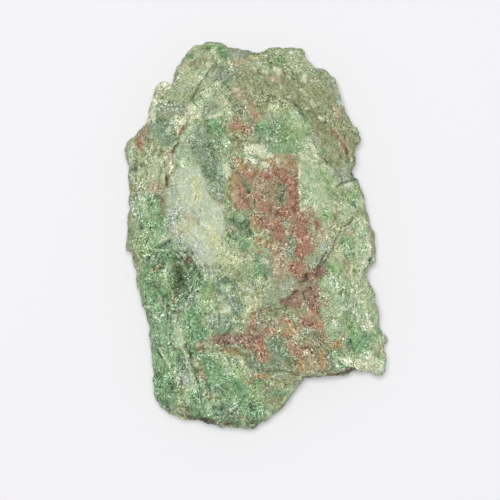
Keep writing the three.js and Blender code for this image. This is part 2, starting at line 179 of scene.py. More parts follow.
# where the fibres lean right or stand upright (elsewhere they lean left), and where the grain is
# quiet or coarse
grains = {
    "rightward": [
        (6.50, 1, [(-34.75, 33.75), (-11.75, 46.75)]),  # the crown, left of its folds
        (3.83, 1, [(-27, 26), (-10.5, 38.75)]),
        (2.49, 1, [(-26.75, -14.75), (-21.25, -8.5)]),  # right of the hollow
        (2.30, 1, [(-40.5, -7), (-34.25, -2.75)]),  # left of it
        (4.21, 1, [(2.5, 17), (13, 9)]),  # the red
        (3.44, 0.9, [(-9, -9), (2.5, -3.75)]),
        (2.68, 1, [(0, -22.5), (13.75, -15.75)]),  # over the grey break
        (2.68, 0.8, [(-13, -47.75), (1.75, -41.25)]),
    ],
    "upright": [
        (3.83, 1, [(-42, 22), (-42, 0)]),  # the left edge
        (3.44, 1, [(-39.75, -12.75), (-34.25, -27), (-30.5, -44)]),  # lower left
        (2.68, 0.9, [(-22.75, -24.5), (-19.5, -41.25)]),
        (4.21, 0.9, [(39.75, -1.25), (36.75, -24.5)]),  # the plate
        (3.06, 0.8, [(20.75, 5.25), (21.5, -7)]),
        (2.68, 0.7, [(-19.5, 22), (-22.75, -1.25)]),
    ],
    "quiet": [
        (2.68, 1, [(-26, 44.75), (-19, 44.25)]),  # the crown, left end
        (1.91, 0.8, [(-28.25, 40.25), (-25.25, 39.25)]),
        (2.68, 1, [(17, 38), (23, 30.25), (30, 21.5)]),  # the right shoulder
        (2.30, 0.8, [(13, 29.25), (17, 24.75)]),
        (2.68, 0.9, [(21.5, 14.25), (27.75, 10.25), (34.5, 15.75)]),  # right of the red
        (1.72, 0.8, [(-13.75, -13.25), (-9.75, -15.25)]),  # right of the hollow
        (1.15, 1, [(-30.5, -25.5), (-29, -27.5)]),  # pale pebble
        (1.72, 1, [(9.25, -13.75), (13.75, -14)]),  # the grey break
        (1.53, 0.6, [(31.5, -16.25), (33, -18.75)]),  # the plate
        (2.10, 1.3, [(-7.5, 12.25), (-5.75, 8)]),  # left block of the red
        (1.91, 1, [(6.25, 18.75), (13.75, 18)]),  # top of the red
        (1.53, 0.6, [(13.75, 14.25), (13.75, 7.5)]),
        (1.91, 0.6, [(2.5, 10.25), (7, 6)]),
        (2.68, 0.6, [(-9.75, 40.25), (5.5, 40.25)]),  # the crown
    ],
    "coarse": [
        (3.44, 1, [(-44.25, 10.25), (-42, -3.75)]),  # the left side
        (4.97, 1, [(-36.5, -12.75), (-32.75, -27), (-30.5, -41.25)]),  # lower left
        (3.06, 1, [(-29.75, -7), (-22.75, -14.75)]),  # the hollow
        (2.68, 0.5, [(-36.5, 34), (-35.75, 26.25)]),  # upper left
        (3.44, 0.9, [(-19, -40.5), (-2.25, -44.75)]),  # the foot
        (3.44, 0.8, [(30, -16.75), (36, -30.25)]),  # the plate
        (2.68, 1, [(38.25, -33.75), (46, -34.75)]),
        (3.06, 0.8, [(4.75, -25.5), (17, -27)]),  # brown ground
        (2.30, 0.8, [(-3.75, 35.5), (-2.25, 32)]),  # the crown
        (1.72, 0.9, [(-1.5, 19.5), (4, 18.5)]),  # over the red
    ],
}

# stains and kinds of stone on the face, each painted over the ones before it
stains = {
    "verdant": [
        (3.4, 1.1, [(-37, -6), (-37, -22), (-34, -37)]),  # lower left and foot
        (3.8, 1.1, [(-27, -17), (-23, -32), (-20, -44)]),
        (3.1, 1, [(-13, -35), (-6, -44), (0, -44)]),
        (2.3, 0.8, [(-40, 7), (-40, -1)]),
        (1.7, 0.8, [(-20, -14), (-17, -17)]),
    ],
    "paleGreen": [
        (3.8, 0.9, [(24, 10), (25, 19)]),
        (4.2, 0.85, [(36, -1), (36, -14), (38, -21)]),
        (2.3, 0.7, [(27, -1), (32, 3)]),
        (2.3, 0.7, [(-40, 19), (-41, 14)]),
        (1.7, 0.95, [(-27, 44), (-25, 40)]),  # crown, left end
        (1.3, 0.7, [(-21, 47), (-19, 45)]),
        (1.3, 0.7, [(-22, 39), (-18, 37)]),
        (1.1, 1, [(-14, 35), (-11, 33), (-8, 30)]),  # pale band across the crown
        (1.1, 0.8, [(-37, 37), (-34, 37)]),
        (0.8, 0.9, [(-31.5, 28), (-30, 26.5)]),
        (1.1, 0.8, [(6, 47), (11, 47)]),  # crown, right end
        (1.3, 0.95, [(12, 45), (15, 44)]),
        (0.9, 1.05, [(16.5, 38.5), (17.5, 39)]),  # smooth break
        (1.3, 0.95, [(5, 33), (10, 32)]),
        (0.8, 0.6, [(-10.5, 24.5), (-9, 23.5)]),
        (1.5, 0.6, [(-40, 22), (-36, 18)]),
        (1.9, 0.95, [(-44, 15), (-39, 15)]),
        (0.8, 0.8, [(-34, 11), (-33.5, 8.5)]),
        (1.5, 0.8, [(-11, -4), (-7, -7)]),
        (1.0, 0.7, [(2, -12), (2, -14)]),
        (1.7, 0.95, [(-1, -16), (0, -19)]),
        (1.3, 0.95, [(19, 21), (22, 18)]),
        (1.5, 0.7, [(28, 7), (32, 8)]),
        (1.3, 0.7, [(26, 2), (28, 0)]),
        (0.8, 0.8, [(40.5, 9), (41.5, 7.5)]),
        (0.8, 0.8, [(47.5, -28.5), (48.5, -30)]),
        (1.0, 0.6, [(42, -8), (42, -12)]),
        (1.1, 0.8, [(-16, -19), (-11, -18)]),
        (1.3, 0.9, [(-4, -22), (-2, -20)]),
        (1.0, 0.7, [(-6, -14), (-3, -13)]),
        (0.6, 0.8, [(-5.5, -32.5), (-4.5, -35.5)]),
        (0.8, 0.6, [(10.5, -39), (11.5, -38.5)]),
        (0.6, 0.7, [(-12, 24), (-11.5, 23)]),
        (0.8, 0.8, [(40, 4), (40.5, 5.5)]),
    ],
    "brown": [
        (3.1, 1, [(5, -23), (17, -23)]),  # brown ground
        (2.7, 1, [(8, -30), (22, -30)]),
        (2.3, 0.9, [(17, -14), (19, -19)]),
        (1.7, 0.7, [(5, -7), (11, -9)]),
        (0.8, 0.5, [(5.5, 25.5), (2.5, 24.5)]),
    ],
    "greyGreen": [
        (1.1, 0.8, [(-7, 47), (-3, 47)]),
        (1.5, 0.8, [(-14, 41), (-7, 41)]),
        (1.1, 0.9, [(-19, 32), (-16, 33)]),
        (1.1, 0.8, [(-7, 33), (-4, 32)]),
        (1.5, 0.9, [(-34, 33), (-29, 32)]),
        (1.7, 0.8, [(27, 39), (28, 35)]),
        (0.8, 0.8, [(36, 25.5), (37, 24)]),
        (0.8, 0.8, [(-22, 21.5), (-21.5, 20)]),
        (1.3, 0.9, [(-14, 12), (-13, 10)]),
        (0.8, 0.6, [(6, 6), (8.5, 5.5)]),
        (1.3, 1, [(32, 17), (35, 15)]),
        (0.7, 0.7, [(21, -13), (23, -14)]),
        (1.1, 0.5, [(2, -22), (6, -22)]),
        (1.0, 0.6, [(11, -30), (9, -33)]),
        (1.0, 1, [(9, -15), (14, -13)]),
        (1.0, 0.5, [(-6, -32), (-8, -32)]),
        (1.0, 0.8, [(11, -36), (15, -38)]),
        (1.0, 0.6, [(3, 26), (4, 25)]),
        (1.1, 0.7, [(-37, 33), (-34, 32)]),
    ],
    "olive": [
        (4.2, 0.9, [(-1, 37), (12, 37)]),
        (3.1, 0.8, [(23, 37), (31, 28), (35, 22)]),
        (0.6, 0.7, [(-19, 48.5), (-16.5, 48.5)]),
        (1.1, 0.7, [(-24, 44), (-21, 45)]),
        (1.0, 0.7, [(-26, 37), (-24, 36)]),
        (1.0, 0.9, [(-2, 46), (2, 46)]),
        (2.3, 0.85, [(0, 41), (2, 37)]),
        (1.7, 0.8, [(8, 38), (12, 38)]),
        (0.3, 0.9, [(14.5, 40.5), (15, 38.5)]),
        (1.5, 0.9, [(17, 34), (22, 31)]),
        (1.7, 1, [(24, 28), (26, 25)]),
        (1.7, 0.95, [(31, 29), (37, 25)]),
        (1.5, 0.9, [(27, 22), (31, 19)]),
        (1.7, 0.8, [(-1, 34), (0, 31)]),
        (1.3, 0.9, [(-11, 24), (-8, 24)]),
        (1.1, 0.7, [(-6, 23), (-8, 22)]),
        (1.1, 0.8, [(-48, 23), (-47, 19)]),  # left flank
        (1.3, 0.7, [(-40, 23), (-37, 22)]),
        (0.6, 0.6, [(-49, 5), (-48, 3)]),
        (0.7, 0.8, [(-46.5, -5), (-45, -7)]),
        (0.6, 0.7, [(-11, 6.5), (-11.5, 4)]),
        (0.9, 0.9, [(0.5, 0), (1, -2.5)]),
        (1.3, 0.7, [(-12, -7), (-8, -9)]),
        (0.8, 0.6, [(37, 19.5), (37, 17.5)]),
        (1.1, 0.8, [(30, 4), (31, 2)]),
        (1.0, 0.6, [(37, 5), (40, 6)]),
        (0.8, 0.7, [(43.5, 2), (45, -1)]),
        (0.5, 0.8, [(49.5, -27), (50, -28)]),
        (1.3, 0.8, [(15, -18), (18, -20)]),
        (2.1, 1, [(8, -21), (14, -21)]),  # brown ground over the foot
        (2.1, 0.9, [(9, -27), (15, -29)]),
        (1.7, 1, [(17, -31), (24, -31)]),
        (1.0, 0.8, [(14, -34), (16, -35)]),
        (1.3, 0.6, [(-6, -25), (-3, -23)]),
        (0.5, 0.9, [(-36.5, -1.5), (-33.5, -1.5)]),
        (0.8, 0.8, [(1, -14), (2, -16)]),
        (0.8, 0.8, [(34, -15), (36.5, -17)]),
        (0.5, 1, [(-30.5, -11.5), (-31, -17)]),
        (0.7, 0.8, [(-31.5, -7.5), (-29, -8)]),
        (0.5, 0.8, [(-28.5, -39.5), (-28, -44.5)]),
        (0.7, 0.9, [(-20, -33), (-20, -34.5)]),
        (0.6, 0.8, [(-10.5, -30.5), (-7, -30)]),
        (1.0, 0.7, [(-4, -31), (-1, -33)]),
        (1.0, 0.8, [(-19, -41), (-16, -42)]),
        (1.5, 0.85, [(5, -43), (8, -45)]),
        (1.3, 0.9, [(8, -38), (12, -38)]),
        (1.7, 0.9, [(22, 28), (27, 24)]),
        (0.6, 0.3, [(-27, -9), (-26.5, -10.5)]),
        (1.0, 0.8, [(-6, 25), (-3, 25)]),
    ],
    "teal": [
        (1.3, 0.55, [(-14, 43), (-9, 38)]),
        (2.1, 1, [(-38, 28), (-34, 26)]),
        (1.5, 0.6, [(-23, 28), (-20, 25)]),
        (1.7, 0.7, [(-25, 24), (-23, 22)]),
        (1.9, 1.1, [(-19, 22), (-17, 17)]),  # dark ground
        (1.5, 0.8, [(-17, 12), (-14, 14)]),
        (0.9, 1, [(13, -1), (13, -5)]),
        (1.5, 1, [(-8, 4), (-4, 3)]),  # beside the red
        (1.3, 0.8, [(2, -6), (5, -9)]),
        (1.5, 1, [(8, -28), (9, -31)]),
        (1.1, 0.6, [(5, -26), (7, -29)]),
        (1.7, 1, [(-14, -13), (-10, -13)]),
        (1.3, 0.9, [(-9, -17), (-7, -19)]),
        (1.7, 1, [(-14, -23), (-10, -23)]),
        (1.7, 1.05, [(-25, -15), (-27, -19)]),
        (0.8, 0.8, [(-28, 23), (-27.5, 21)]),
        (1.1, 0.9, [(-29, -32), (-27, -34)]),
        (1.1, 0.8, [(-1, -33), (1, -34)]),
        (0.8, 0.7, [(-11.5, -38), (-10, -39.5)]),
        (1.3, 0.9, [(-12, -45), (-8, -46)]),
        (0.8, 0.6, [(-26.5, -12), (-25, -14)]),
        (0.5, 0.8, [(-1, 9), (-0.5, 8)]),
        (1.0, 0.7, [(-27, -17), (-23, -14)]),
    ],
    "leaf": [
        (0.8, 1, [(-20, 49), (-15, 49), (-13, 48)]),  # its green rim
        (0.8, 0.6, [(4.5, 47), (6, 47.5)]),
        (1.0, 0.9, [(6, 44), (10, 45)]),
        (1.9, 1, [(12, 30), (17, 28)]),  # green under the crown
        (1.7, 0.9, [(10, 26), (16, 24)]),
        (1.0, 0.8, [(-13, 29), (-13, 27)]),
        (1.1, 0.8, [(-40, 3), (-39, 1)]),
        (1.5, 0.7, [(-44, -2), (-43, -5)]),
        (0.8, 0.7, [(-10.5, 12), (-10, 8)]),
        (1.0, 0.6, [(-9, 5), (-7, 6)]),
        (1.1, 0.7, [(26, 16), (28, 14)]),
        (1.0, 0.6, [(28, 12), (30, 10)]),
        (0.8, 0.9, [(26, 5.5), (28.5, 4.5)]),
        (1.0, 0.9, [(35, 10), (38, 9)]),
        (0.8, 0.7, [(39, 12.5), (38.5, 11.5)]),
        (1.1, 0.7, [(37, -1), (35, -3)]),
        (1.1, 1.1, [(28, -8), (31, -9)]),
        (1.0, 0.6, [(35, -12), (37, -15)]),
        (1.5, 0.9, [(35, -22), (38, -25)]),
        (1.0, 1, [(47, -24), (48, -26)]),
        (1.1, 1.2, [(-19, -12), (-18, -15)]),  # bright green rim
        (1.3, 0.9, [(-18, -17), (-16, -18)]),
        (1.0, 0.5, [(-2, -8), (-4, -11)]),
        (1.3, 0.9, [(-34, -11), (-33, -15)]),
        (0.8, 0.9, [(-34.5, -10), (-33.5, -13.5)]),
        (0.6, 0.7, [(-27.5, -8), (-26, -9)]),
        (1.5, 0.7, [(-8, -35), (-6, -37)]),
        (1.7, 0.8, [(-2, -40), (0, -43)]),
        (0.8, 1, [(-18.5, -11.5), (-18.5, -14.5)]),
        (0.6, 0.3, [(-30, -16), (-30.5, -17.5)]),
        (0.8, 0.8, [(-19, -12.5), (-18, -17)]),
    ],
    "emerald": [
        (0.8, 0.9, [(-13, 48), (-11.5, 46)]),
        (0.6, 0.7, [(-26, 46.5), (-24.5, 46.5)]),
        (1.5, 0.7, [(3, 28), (8, 29)]),
        (1.3, 0.6, [(2, 27), (5, 25)]),
        (1.3, 0.7, [(6, 23), (12, 22)]),
        (1.3, 0.9, [(-16, 29), (-14, 27)]),
        (1.5, 0.8, [(-43, 9), (-40, 7)]),
        (1.7, 0.7, [(-44, 5), (-42, 2)]),
        (1.1, 1, [(-37, 3), (-36, 1)]),
        (1.1, 0.6, [(-14, 23), (-12, 22)]),
        (0.8, 0.8, [(-3.5, 13.5), (-2, 11.5)]),  # green left in it
        (0.8, 0.75, [(10.5, 12), (9.5, 8.5)]),
        (0.5, 0.9, [(-0.5, 8.5), (0, 8)]),
        (1.1, 0.8, [(-8, 0), (-4, -3)]),
        (1.1, 0.6, [(0, -7), (2, -10)]),
        (1.0, 0.7, [(-1, -12), (1, -13)]),
        (0.9, 0.8, [(33.5, -1.5), (36, -5)]),
        (0.8, 0.6, [(37, -4.5), (37.5, -7)]),
        (1.0, 0.6, [(35, -19), (36, -20)]),
        (1.1, 0.8, [(42, -26), (45, -25)]),
        (1.5, 1.1, [(37, -27), (41, -29)]),
        (0.8, 0.8, [(32, -33.5), (33.5, -34.5)]),
        (0.8, 0.6, [(28.5, -25.5), (30, -26)]),
        (1.0, 0.8, [(30, -30), (31, -31)]),
        (2.5, 0.9, [(-37, -5), (-32, -4)]),  # round the hollow
        (2.3, 0.9, [(-40, -14), (-37, -19)]),
        (1.9, 1, [(-24, -10), (-22, -13)]),
        (0.8, 0.8, [(-33, -23.5), (-31.5, -26)]),
        (0.8, 0.8, [(-25, -43), (-24, -44.5)]),
        (0.8, 0.8, [(-18.5, -45), (-16.5, -46)]),
        (0.8, 0.7, [(-2, -43.5), (-0.5, -45)]),
        (0.6, 0.6, [(26, 22.5), (25.5, 21.5)]),
        (1.9, 1.2, [(-24, -21), (-22, -25)]),  # below the hollow
        (2.1, 0.9, [(-38, -25), (-37, -29)]),
        (1.7, 0.9, [(-22, -29), (-19, -31)]),
        (2.1, 1.15, [(-35, -36), (-34, -42)]),
        (1.7, 0.9, [(-23, -42), (-21, -45)]),
        (2.1, 1.2, [(-17, -33), (-14, -37)]),
        (1.7, 1, [(-8, -40), (-4, -42)]),
        (1.3, 0.8, [(-4, -45), (0, -46)]),
        (0.5, 0.9, [(10, -40.5), (11, -41)]),
        (1.0, 0.6, [(1, -38), (2, -39)]),
        (1.1, 0.6, [(-37, -12), (-35, -15)]),
        (0.8, 0.6, [(-33.5, -8.5), (-33, -14)]),
        (0.8, 0.6, [(-29, -15.5), (-28, -17.5)]),
    ],
    "mint": [
        (1.0, 0.6, [(-18, 35), (-21, 34)]),
        (0.6, 0.6, [(-34.5, 29), (-33.5, 26.5)]),
        (1.1, 0.7, [(-27, 27), (-24, 28)]),
        (1.1, 0.7, [(15, 31), (16, 29)]),
        (1.0, 0.8, [(-45, 10), (-43, 8)]),
        (0.8, 0.5, [(-39, 7), (-42, 5.5)]),
        (1.0, 0.6, [(-37, 0), (-34, 0)]),
        (1.5, 1.05, [(-28, 22), (-27, 19)]),  # pale teal at the head of the lens
        (1.1, 0.7, [(-27, 25), (-25, 26)]),
        (1.0, 0.7, [(-12, 19), (-13, 17)]),
        (1.3, 0.9, [(19, 23), (22, 24)]),  # pale column right of the red
        (1.5, 1, [(19, 16), (22, 14)]),
        (1.3, 1.1, [(21, 12), (22, 9)]),
        (0.8, 0.6, [(33.5, 6), (37, 6.5)]),
        (1.3, 1, [(39, 3), (41, 0)]),  # right plate
        (1.1, 0.9, [(41, -3), (41, -5)]),
        (1.5, 0.9, [(28, -12), (31, -13)]),
        (1.9, 0.8, [(32, -17), (37, -18)]),
        (1.9, 0.75, [(40, -20), (44, -23)]),
        (1.5, 0.5, [(29, -22), (31, -25)]),
        (1.7, 1.15, [(43, -32), (47, -34)]),  # corner of the plate
        (0.9, 0.8, [(17, -25.5), (19, -24.5)]),
        (0.7, 0.6, [(17.5, -25.5), (19, -25)]),
        (0.8, 0.6, [(-19, -8.5), (-20, -10)]),
        (0.8, 0.8, [(-12, -13.5), (-10.5, -13.5)]),
        (0.5, 1, [(-34.5, -9), (-34.5, -11.5)]),
        (0.5, 1, [(-39.5, -5), (-39.5, -6)]),
        (0.8, 0.8, [(-18.5, -28.5), (-18, -30.5)]),
        (0.6, 0.9, [(-26.5, -30), (-24.5, -33.5)]),
        (0.6, 0.7, [(-48, 22), (-47.5, 18.5)]),
        (0.8, 0.7, [(-21, 42), (-19.5, 40)]),
        (0.8, 0.8, [(-33.5, 18), (-33.5, 15.5)]),
        (0.8, 0.7, [(39.5, 4), (41.5, 3)]),
        (0.8, 0.7, [(-8, -22), (-7.5, -24)]),
        (0.7, 0.7, [(42, -5.5), (42, -7.5)]),
        (0.8, 0.7, [(-30.5, -3.5), (-28, -4.5)]),
        (0.8, 0.6, [(14, 47.5), (15.5, 46.5)]),
        (0.8, 0.7, [(-20, -10), (-17.5, -11.5)]),
        (0.2, 0.8, [(-25.5, -11.5), (-24.5, -9.75), (-22, -8.5)]),
        (0.2, 0.7, [(-24, -12.75), (-22, -10.5)]),
        (0.2, 0.8, [(-26.25, -16.25), (-24, -14.5), (-21.25, -13.75)]),
        (0.5, 1, [(-23, -16), (-21.5, -15.5)]),
        (0.6, 0.6, [(-36.5, -17), (-34.5, -18)]),
        (1.0, 0.5, [(-39, -21), (-37, -22)]),
        (0.9, 0.9, [(-29, -22), (-29.5, -24.5)]),
        (1.1, 1.15, [(-30, -27), (-29, -28)]),
        (0.4, 0.8, [(-35, -30.5), (-32.5, -34.5), (-30, -37)]),  # pale streaks of the foot
        (0.4, 0.5, [(-33.5, -26.5), (-36.5, -30)]),
        (0.6, 0.9, [(-24.5, -36), (-23.5, -39.5)]),
        (0.6, 0.9, [(-26.5, -41.5), (-25.5, -43.5)]),
        (0.8, 0.8, [(-15, -30.5), (-13, -32)]),
        (0.6, 1, [(-11.5, -33.5), (-10, -35.5)]),
        (0.7, 0.9, [(-18.5, -44), (-18, -45.5)]),
        (0.4, 1, [(-8.5, -43), (-7.5, -43.5)]),
        (0.6, 0.9, [(5, -46), (6, -47)]),
        (0.8, 0.8, [(-29.5, -3.5), (-28.5, -4.5)]),
        (1.0, 0.9, [(-30, -26), (-29, -28)]),
        (0.8, 0.7, [(-23.5, -32.5), (-24, -35.5)]),
        (0.8, 0.7, [(48.5, -26.5), (49, -28.5)]),
        (0.6, 0.8, [(-11.5, 24.5), (-11.5, 23.5)]),
        (0.8, 0.7, [(-42.5, 1), (-42.5, 0)]),
        (0.6, 0.8, [(2, -6), (2, -7)]),
        (0.8, 0.6, [(6.5, -44.5), (7.5, -45)]),
        (0.8, 0.8, [(-46.5, 7.5), (-46.5, 6.5)]),
        (0.7, 0.7, [(-35.5, -26), (-35.5, -27)]),
        (0.7, 0.7, [(-16.5, -30.5), (-16, -31.5)]),
        (0.6, 0.8, [(-15, 30), (-14, 29.5)]),
        (0.6, 0.7, [(36, 19), (36, 18)]),
        (0.7, 0.8, [(-27.5, 38), (-26.5, 37)]),
        (0.8, 0.8, [(39, 9.5), (39, 8.5)]),
        (0.8, 0.6, [(-39, -26), (-39, -27)]),
        (0.6, 0.8, [(-16.5, -17), (-16.5, -18)]),
        (0.6, 0.8, [(-31.5, -29.5), (-31, -30.5)]),
        (0.8, 0.8, [(33.5, -3), (34.5, -4)]),
        (0.8, 0.6, [(-15.5, 13.5), (-15, 12.5)]),
        (0.7, 0.8, [(-25, -30), (-24.5, -31)]),
        (0.7, 0.6, [(-37, -16), (-37, -17.5)]),
        (0.6, 0.7, [(-10.5, 24), (-10, 23)]),
        (0.6, 0.6, [(-34, 30), (-33, 29)]),
        (0.6, 0.5, [(-33, -9), (-32.5, -10)]),
        (0.7, 0.7, [(42, -11.5), (42, -12.5)]),
        (0.8, 0.7, [(13, -40), (14, -40.5)]),
        (0.6, 0.6, [(-34.5, 6), (-34.5, 4.5)]),
        (0.7, 0.5, [(-26, -3.5), (-25, -4)]),
        (0.8, 0.5, [(-2, 1), (-1.5, 0)]),
        (0.8, 0.5, [(-9.5, 1), (-8.5, 0.5)]),
        (0.7, 0.7, [(-40.5, 11.5), (-39.5, 10.5)]),
        (0.6, 0.6, [(-26.5, -34), (-26.5, -35)]),
        (0.6, 0.6, [(-34.5, 2.5), (-34.5, 1.5)]),
        (0.7, 0.6, [(-25.5, -30.5), (-25, -31)]),
        (0.7, 0.6, [(43.5, -15.5), (44.5, -16.5)]),
        (0.7, 0.6, [(-36.5, 11), (-36, 10)]),
        (0.7, 0.6, [(-26.5, -3), (-25.5, -3.5)]),
        (0.7, 0.5, [(-33, -28), (-32, -28.5)]),
        (0.7, 0.5, [(-46, 0.5), (-45.5, 0)]),
        (0.6, 0.5, [(-29.5, -13), (-28.5, -13.5)]),
        (0.8, 0.4, [(19, 19.5), (21.5, 15.5)]),
        (0.8, 0.35, [(24.5, 12.5), (27, 8)]),
        (1.7, 0.35, [(22, 19), (25, 9)]),
        (0.6, 0.7, [(-25.5, -30.5), (-25, -31.5)]),
    ],
    "lens": [
        (2.7, 1.1, [(-26, 14), (-23, 10)]),  # pale lens, its paleness partly a painted sheen
        (2.5, 1.1, [(-26, 8), (-20, 5)]),
        (2.1, 1.1, [(-17, 6), (-16, 2)]),
        (2.3, 1.1, [(-26, 2), (-21, -1)]),
        (1.9, 1.05, [(-17, -1), (-19, -5)]),
        (1.1, 1, [(-28, 16), (-30, 14)]),
        (0.6, 0.8, [(-29.5, -24.5), (-28.5, -27.5)]),
        (0.8, 0.7, [(-32, 2), (-32, -0.5)]),
    ],
    "straw": [
        (0.5, 0.6, [(-3, 46), (0.5, 46), (3.5, 46.5)]),
        (1.1, 0.9, [(-23, 14), (-22, 10)]),  # yellower middle
        (1.1, 0.5, [(-27, 9), (-23, 8)]),
        (1.0, 0.6, [(-27, 2), (-24, 3)]),
        (1.1, 1, [(-17, 1), (-15, -3)]),
        (1.0, 0.7, [(-15, -6), (-13, -4)]),
        (1.0, 0.7, [(-12, -7), (-8, -7)]),
        (1.0, 0.6, [(1, -12), (0, -18)]),
        (1.0, 0.7, [(-4, -21), (-2, -19)]),
        (0.8, 0.7, [(6, 33), (9.5, 32)]),
        (0.6, 0.7, [(-30.5, 27.5), (-29.5, 26.5)]),
        (0.8, 0.6, [(-12, 33.5), (-9, 31)]),
        (0.3, 0.65, [(-37, -1.75), (-34.75, -0.75), (-32.5, -0.5)]),
        (0.8, 0.7, [(30.5, 2.5), (31.5, 2)]),
        (0.5, 0.6, [(37, 0), (38.5, -1)]),
        (0.5, 0.5, [(-17, -17), (-16.5, -18.5)]),
        (0.5, 0.5, [(33.5, -7.5), (34.5, -9)]),
    ],
    # grey-blue stone, and a painted sheen on the rim of the lens
    "blueAndSheen": [
        (1.0, 0.35, [(-30, 33), (-28, 32)]),
        (0.8, 0.35, [(-2, 44.5), (1.5, 44)]),
        (0.6, 0.5, [(31, 36), (31.5, 35)]),
        (0.9, 0.6, [(-31.5, 11), (-32, 6), (-31.5, 1)]),  # its grey-blue rim, a painted sheen
        (0.8, 0.7, [(-32.5, 5), (-32, 2.5)]),
        (1.0, 0.65, [(-30, -1), (-26, -3), (-22, -6)]),
        (1.0, 0.7, [(-20, -8), (-17, -10)]),
        (0.5, 0.7, [(-24, 6.5), (-21.5, 4)]),
        (0.6, 0.5, [(34, 13.5), (36, 11.5)]),
        (0.8, 0.5, [(30.5, -12.5), (31.5, -14)]),
        (1.0, 0.6, [(25, -3), (27, -4)]),  # along the right crack
        (0.6, 0.5, [(16, -21.5), (17.5, -22.5)]),
        (0.6, 0.4, [(18.5, -25), (20, -24.5)]),
        (0.8, 0.5, [(-17.5, -21.5), (-15, -21)]),
        (0.4, 0.7, [(-38, -7), (-36.5, -6.5)]),
        (0.8, 0.6, [(-27.5, -36.5), (-26.5, -39)]),
        (0.6, 0.5, [(0.5, -33.5), (1, -33)]),
        (0.6, 0.6, [(9, -36.5), (10, -37)]),
        (0.6, 0.6, [(-32, 18), (-32.5, 17)]),
        (1.0, 0.7, [(-22, -2), (-21, -4)]),
        (0.8, 0.6, [(-29, 8.5), (-29, 7)]),
    ],
    "tan": [
        (0.6, 0.6, [(-29.5, 45), (-27.5, 43.5)]),
        (0.8, 0.6, [(-7.5, 44.5), (-4.5, 45)]),
        (1.0, 0.75, [(-8, 37), (-6, 36)]),
        (0.7, 0.85, [(-26.5, 31), (-25, 30)]),
        (1.0, 0.5, [(-44, 22), (-43, 24)]),
        (0.8, 0.35, [(13.5, 46), (15.5, 44)]),
        (0.8, 0.75, [(6, 40.5), (8.5, 40.5)]),
        (1.0, 0.75, [(31, 32), (31, 31)]),  # right shoulder
        (1.0, 0.6, [(30, 27), (33, 24)]),
        (1.0, 0.6, [(33, 24), (35, 21)]),
        (1.1, 0.6, [(-2, 34), (0, 32)]),
        (1.0, 0.5, [(-1, 32), (1, 30)]),
        (1.5, 0.6, [(-10, 28), (-3, 27)]),
        (1.1, 0.8, [(-39, 13), (-36, 11)]),
        (0.5, 0.6, [(-36, 7.5), (-35.5, 5.5)]),
        (0.8, 0.85, [(-32.5, 21.5), (-33, 18.5)]),  # lips of the left crack
        (0.5, 0.8, [(-35, 14), (-33.5, 16.5)]),
        (0.8, 0.6, [(-26.5, 5), (-25, 4.5)]),
        (0.4, 0.6, [(-14, 8), (-13.5, 7.5)]),
        (1.3, 0.95, [(8, -3), (9, -5)]),  # pale pink under it
        (1.2, 0.9, [(9, -8), (9, -11)]),
        (1.1, 0.6, [(12, -6), (18, -7)]),
        (1.1, 0.8, [(25, -1), (25, 1)]),
        (1.0, 0.55, [(18, 7), (19, 4)]),
        (0.8, 0.55, [(-6, -4.5), (-5.5, -6)]),
        (0.8, 0.5, [(-0.5, -16), (1, -17.5)]),
        (0.6, 0.6, [(34.5, -7), (35.5, -10)]),
        (0.3, 0.8, [(30.5, -1.5), (29.5, -3.5), (29, -5.5)]),
        (1.1, 0.5, [(9, -5), (10, -9)]),
        (1.3, 0.7, [(15, -14), (17, -17)]),
        (1.5, 0.75, [(9, -23), (15, -25)]),
        (1.1, 0.95, [(19, -30), (22, -34)]),
        (1.1, 0.85, [(13, -28), (15, -30)]),
        (1.3, 0.8, [(2, -23), (5, -25)]),
        (0.3, 0.7, [(0.5, -20), (2.5, -19.5), (5.5, -19)]),
        (0.6, 0.8, [(17.5, -32.5), (17, -34)]),
        (0.8, 0.7, [(28.5, -28), (29, -29)]),
        (0.6, 0.6, [(32, -26.5), (34.5, -26)]),
        (0.5, 0.7, [(-20, -29), (-17, -28)]),
        (0.3, 0.5, [(-27.5, -12.5), (-25, -12.5)]),
        (0.5, 0.3, [(-31, -15.5), (-30.5, -17)]),
        (0.5, 0.8, [(-27.5, -45.5), (-26.5, -47)]),
        (0.4, 0.8, [(-22.5, -28.5), (-20, -27.5), (-17.5, -26.5)]),  # rust lines of the foot
        (0.4, 0.8, [(-21.5, -29), (-21, -31)]),
        (0.7, 0.7, [(-21, -35), (-20.5, -37)]),
        (0.5, 0.7, [(-5.5, -47), (-4, -47.5)]),
        (0.7, 0.6, [(4.5, 20), (5.5, 19)]),
        (0.6, 0.3, [(-32.5, 0.5), (-31.5, 1.5)]),
        (0.6, 0.6, [(19, -35.5), (21.5, -35.5)]),
        (0.6, 0.8, [(6, 20), (8, 20)]),
        (0.8, 0.6, [(36.5, 1), (37, 0.5)]),
        (0.6, 0.8, [(-7, -24.5), (-6, -25)]),
        (0.6, 0.7, [(13.5, 20), (14, 19.5)]),
        (0.7, 0.7, [(4.5, 16.5), (5.5, 16)]),
        (0.7, 0.6, [(4.5, 16.5), (5.5, 16)]),
        (0.8, 0.5, [(-7, 8), (-5, 7)]),
        (0.3, 0.5, [(-30, -13.25), (-30.5, -15.75)]),  # brown seam of the hollow
        (0.2, 0.6, [(31, -0.75), (29.5, -2.5), (29.25, -3.5)]),
    ],
    "rust": [
        (0.8, 0.9, [(-42, 27.5), (-44, 26)]),  # left edge
        (0.8, 0.95, [(-45, 25), (-44, 22.5)]),
        (1.0, 0.7, [(-9, 28), (-4, 27)]),
        (2.3, 1.1, [(-4, 15), (3, 13), (12, 16)]),  # the red
        (2.1, 1.1, [(-4, 10), (2, 8), (12, 10)]),
        (1.3, 1.2, [(13, 19), (14, 7)]),
        (1.3, 1, [(6, 18), (12, 19)]),
        (1.9, 1.1, [(2, 4), (10, 2)]),
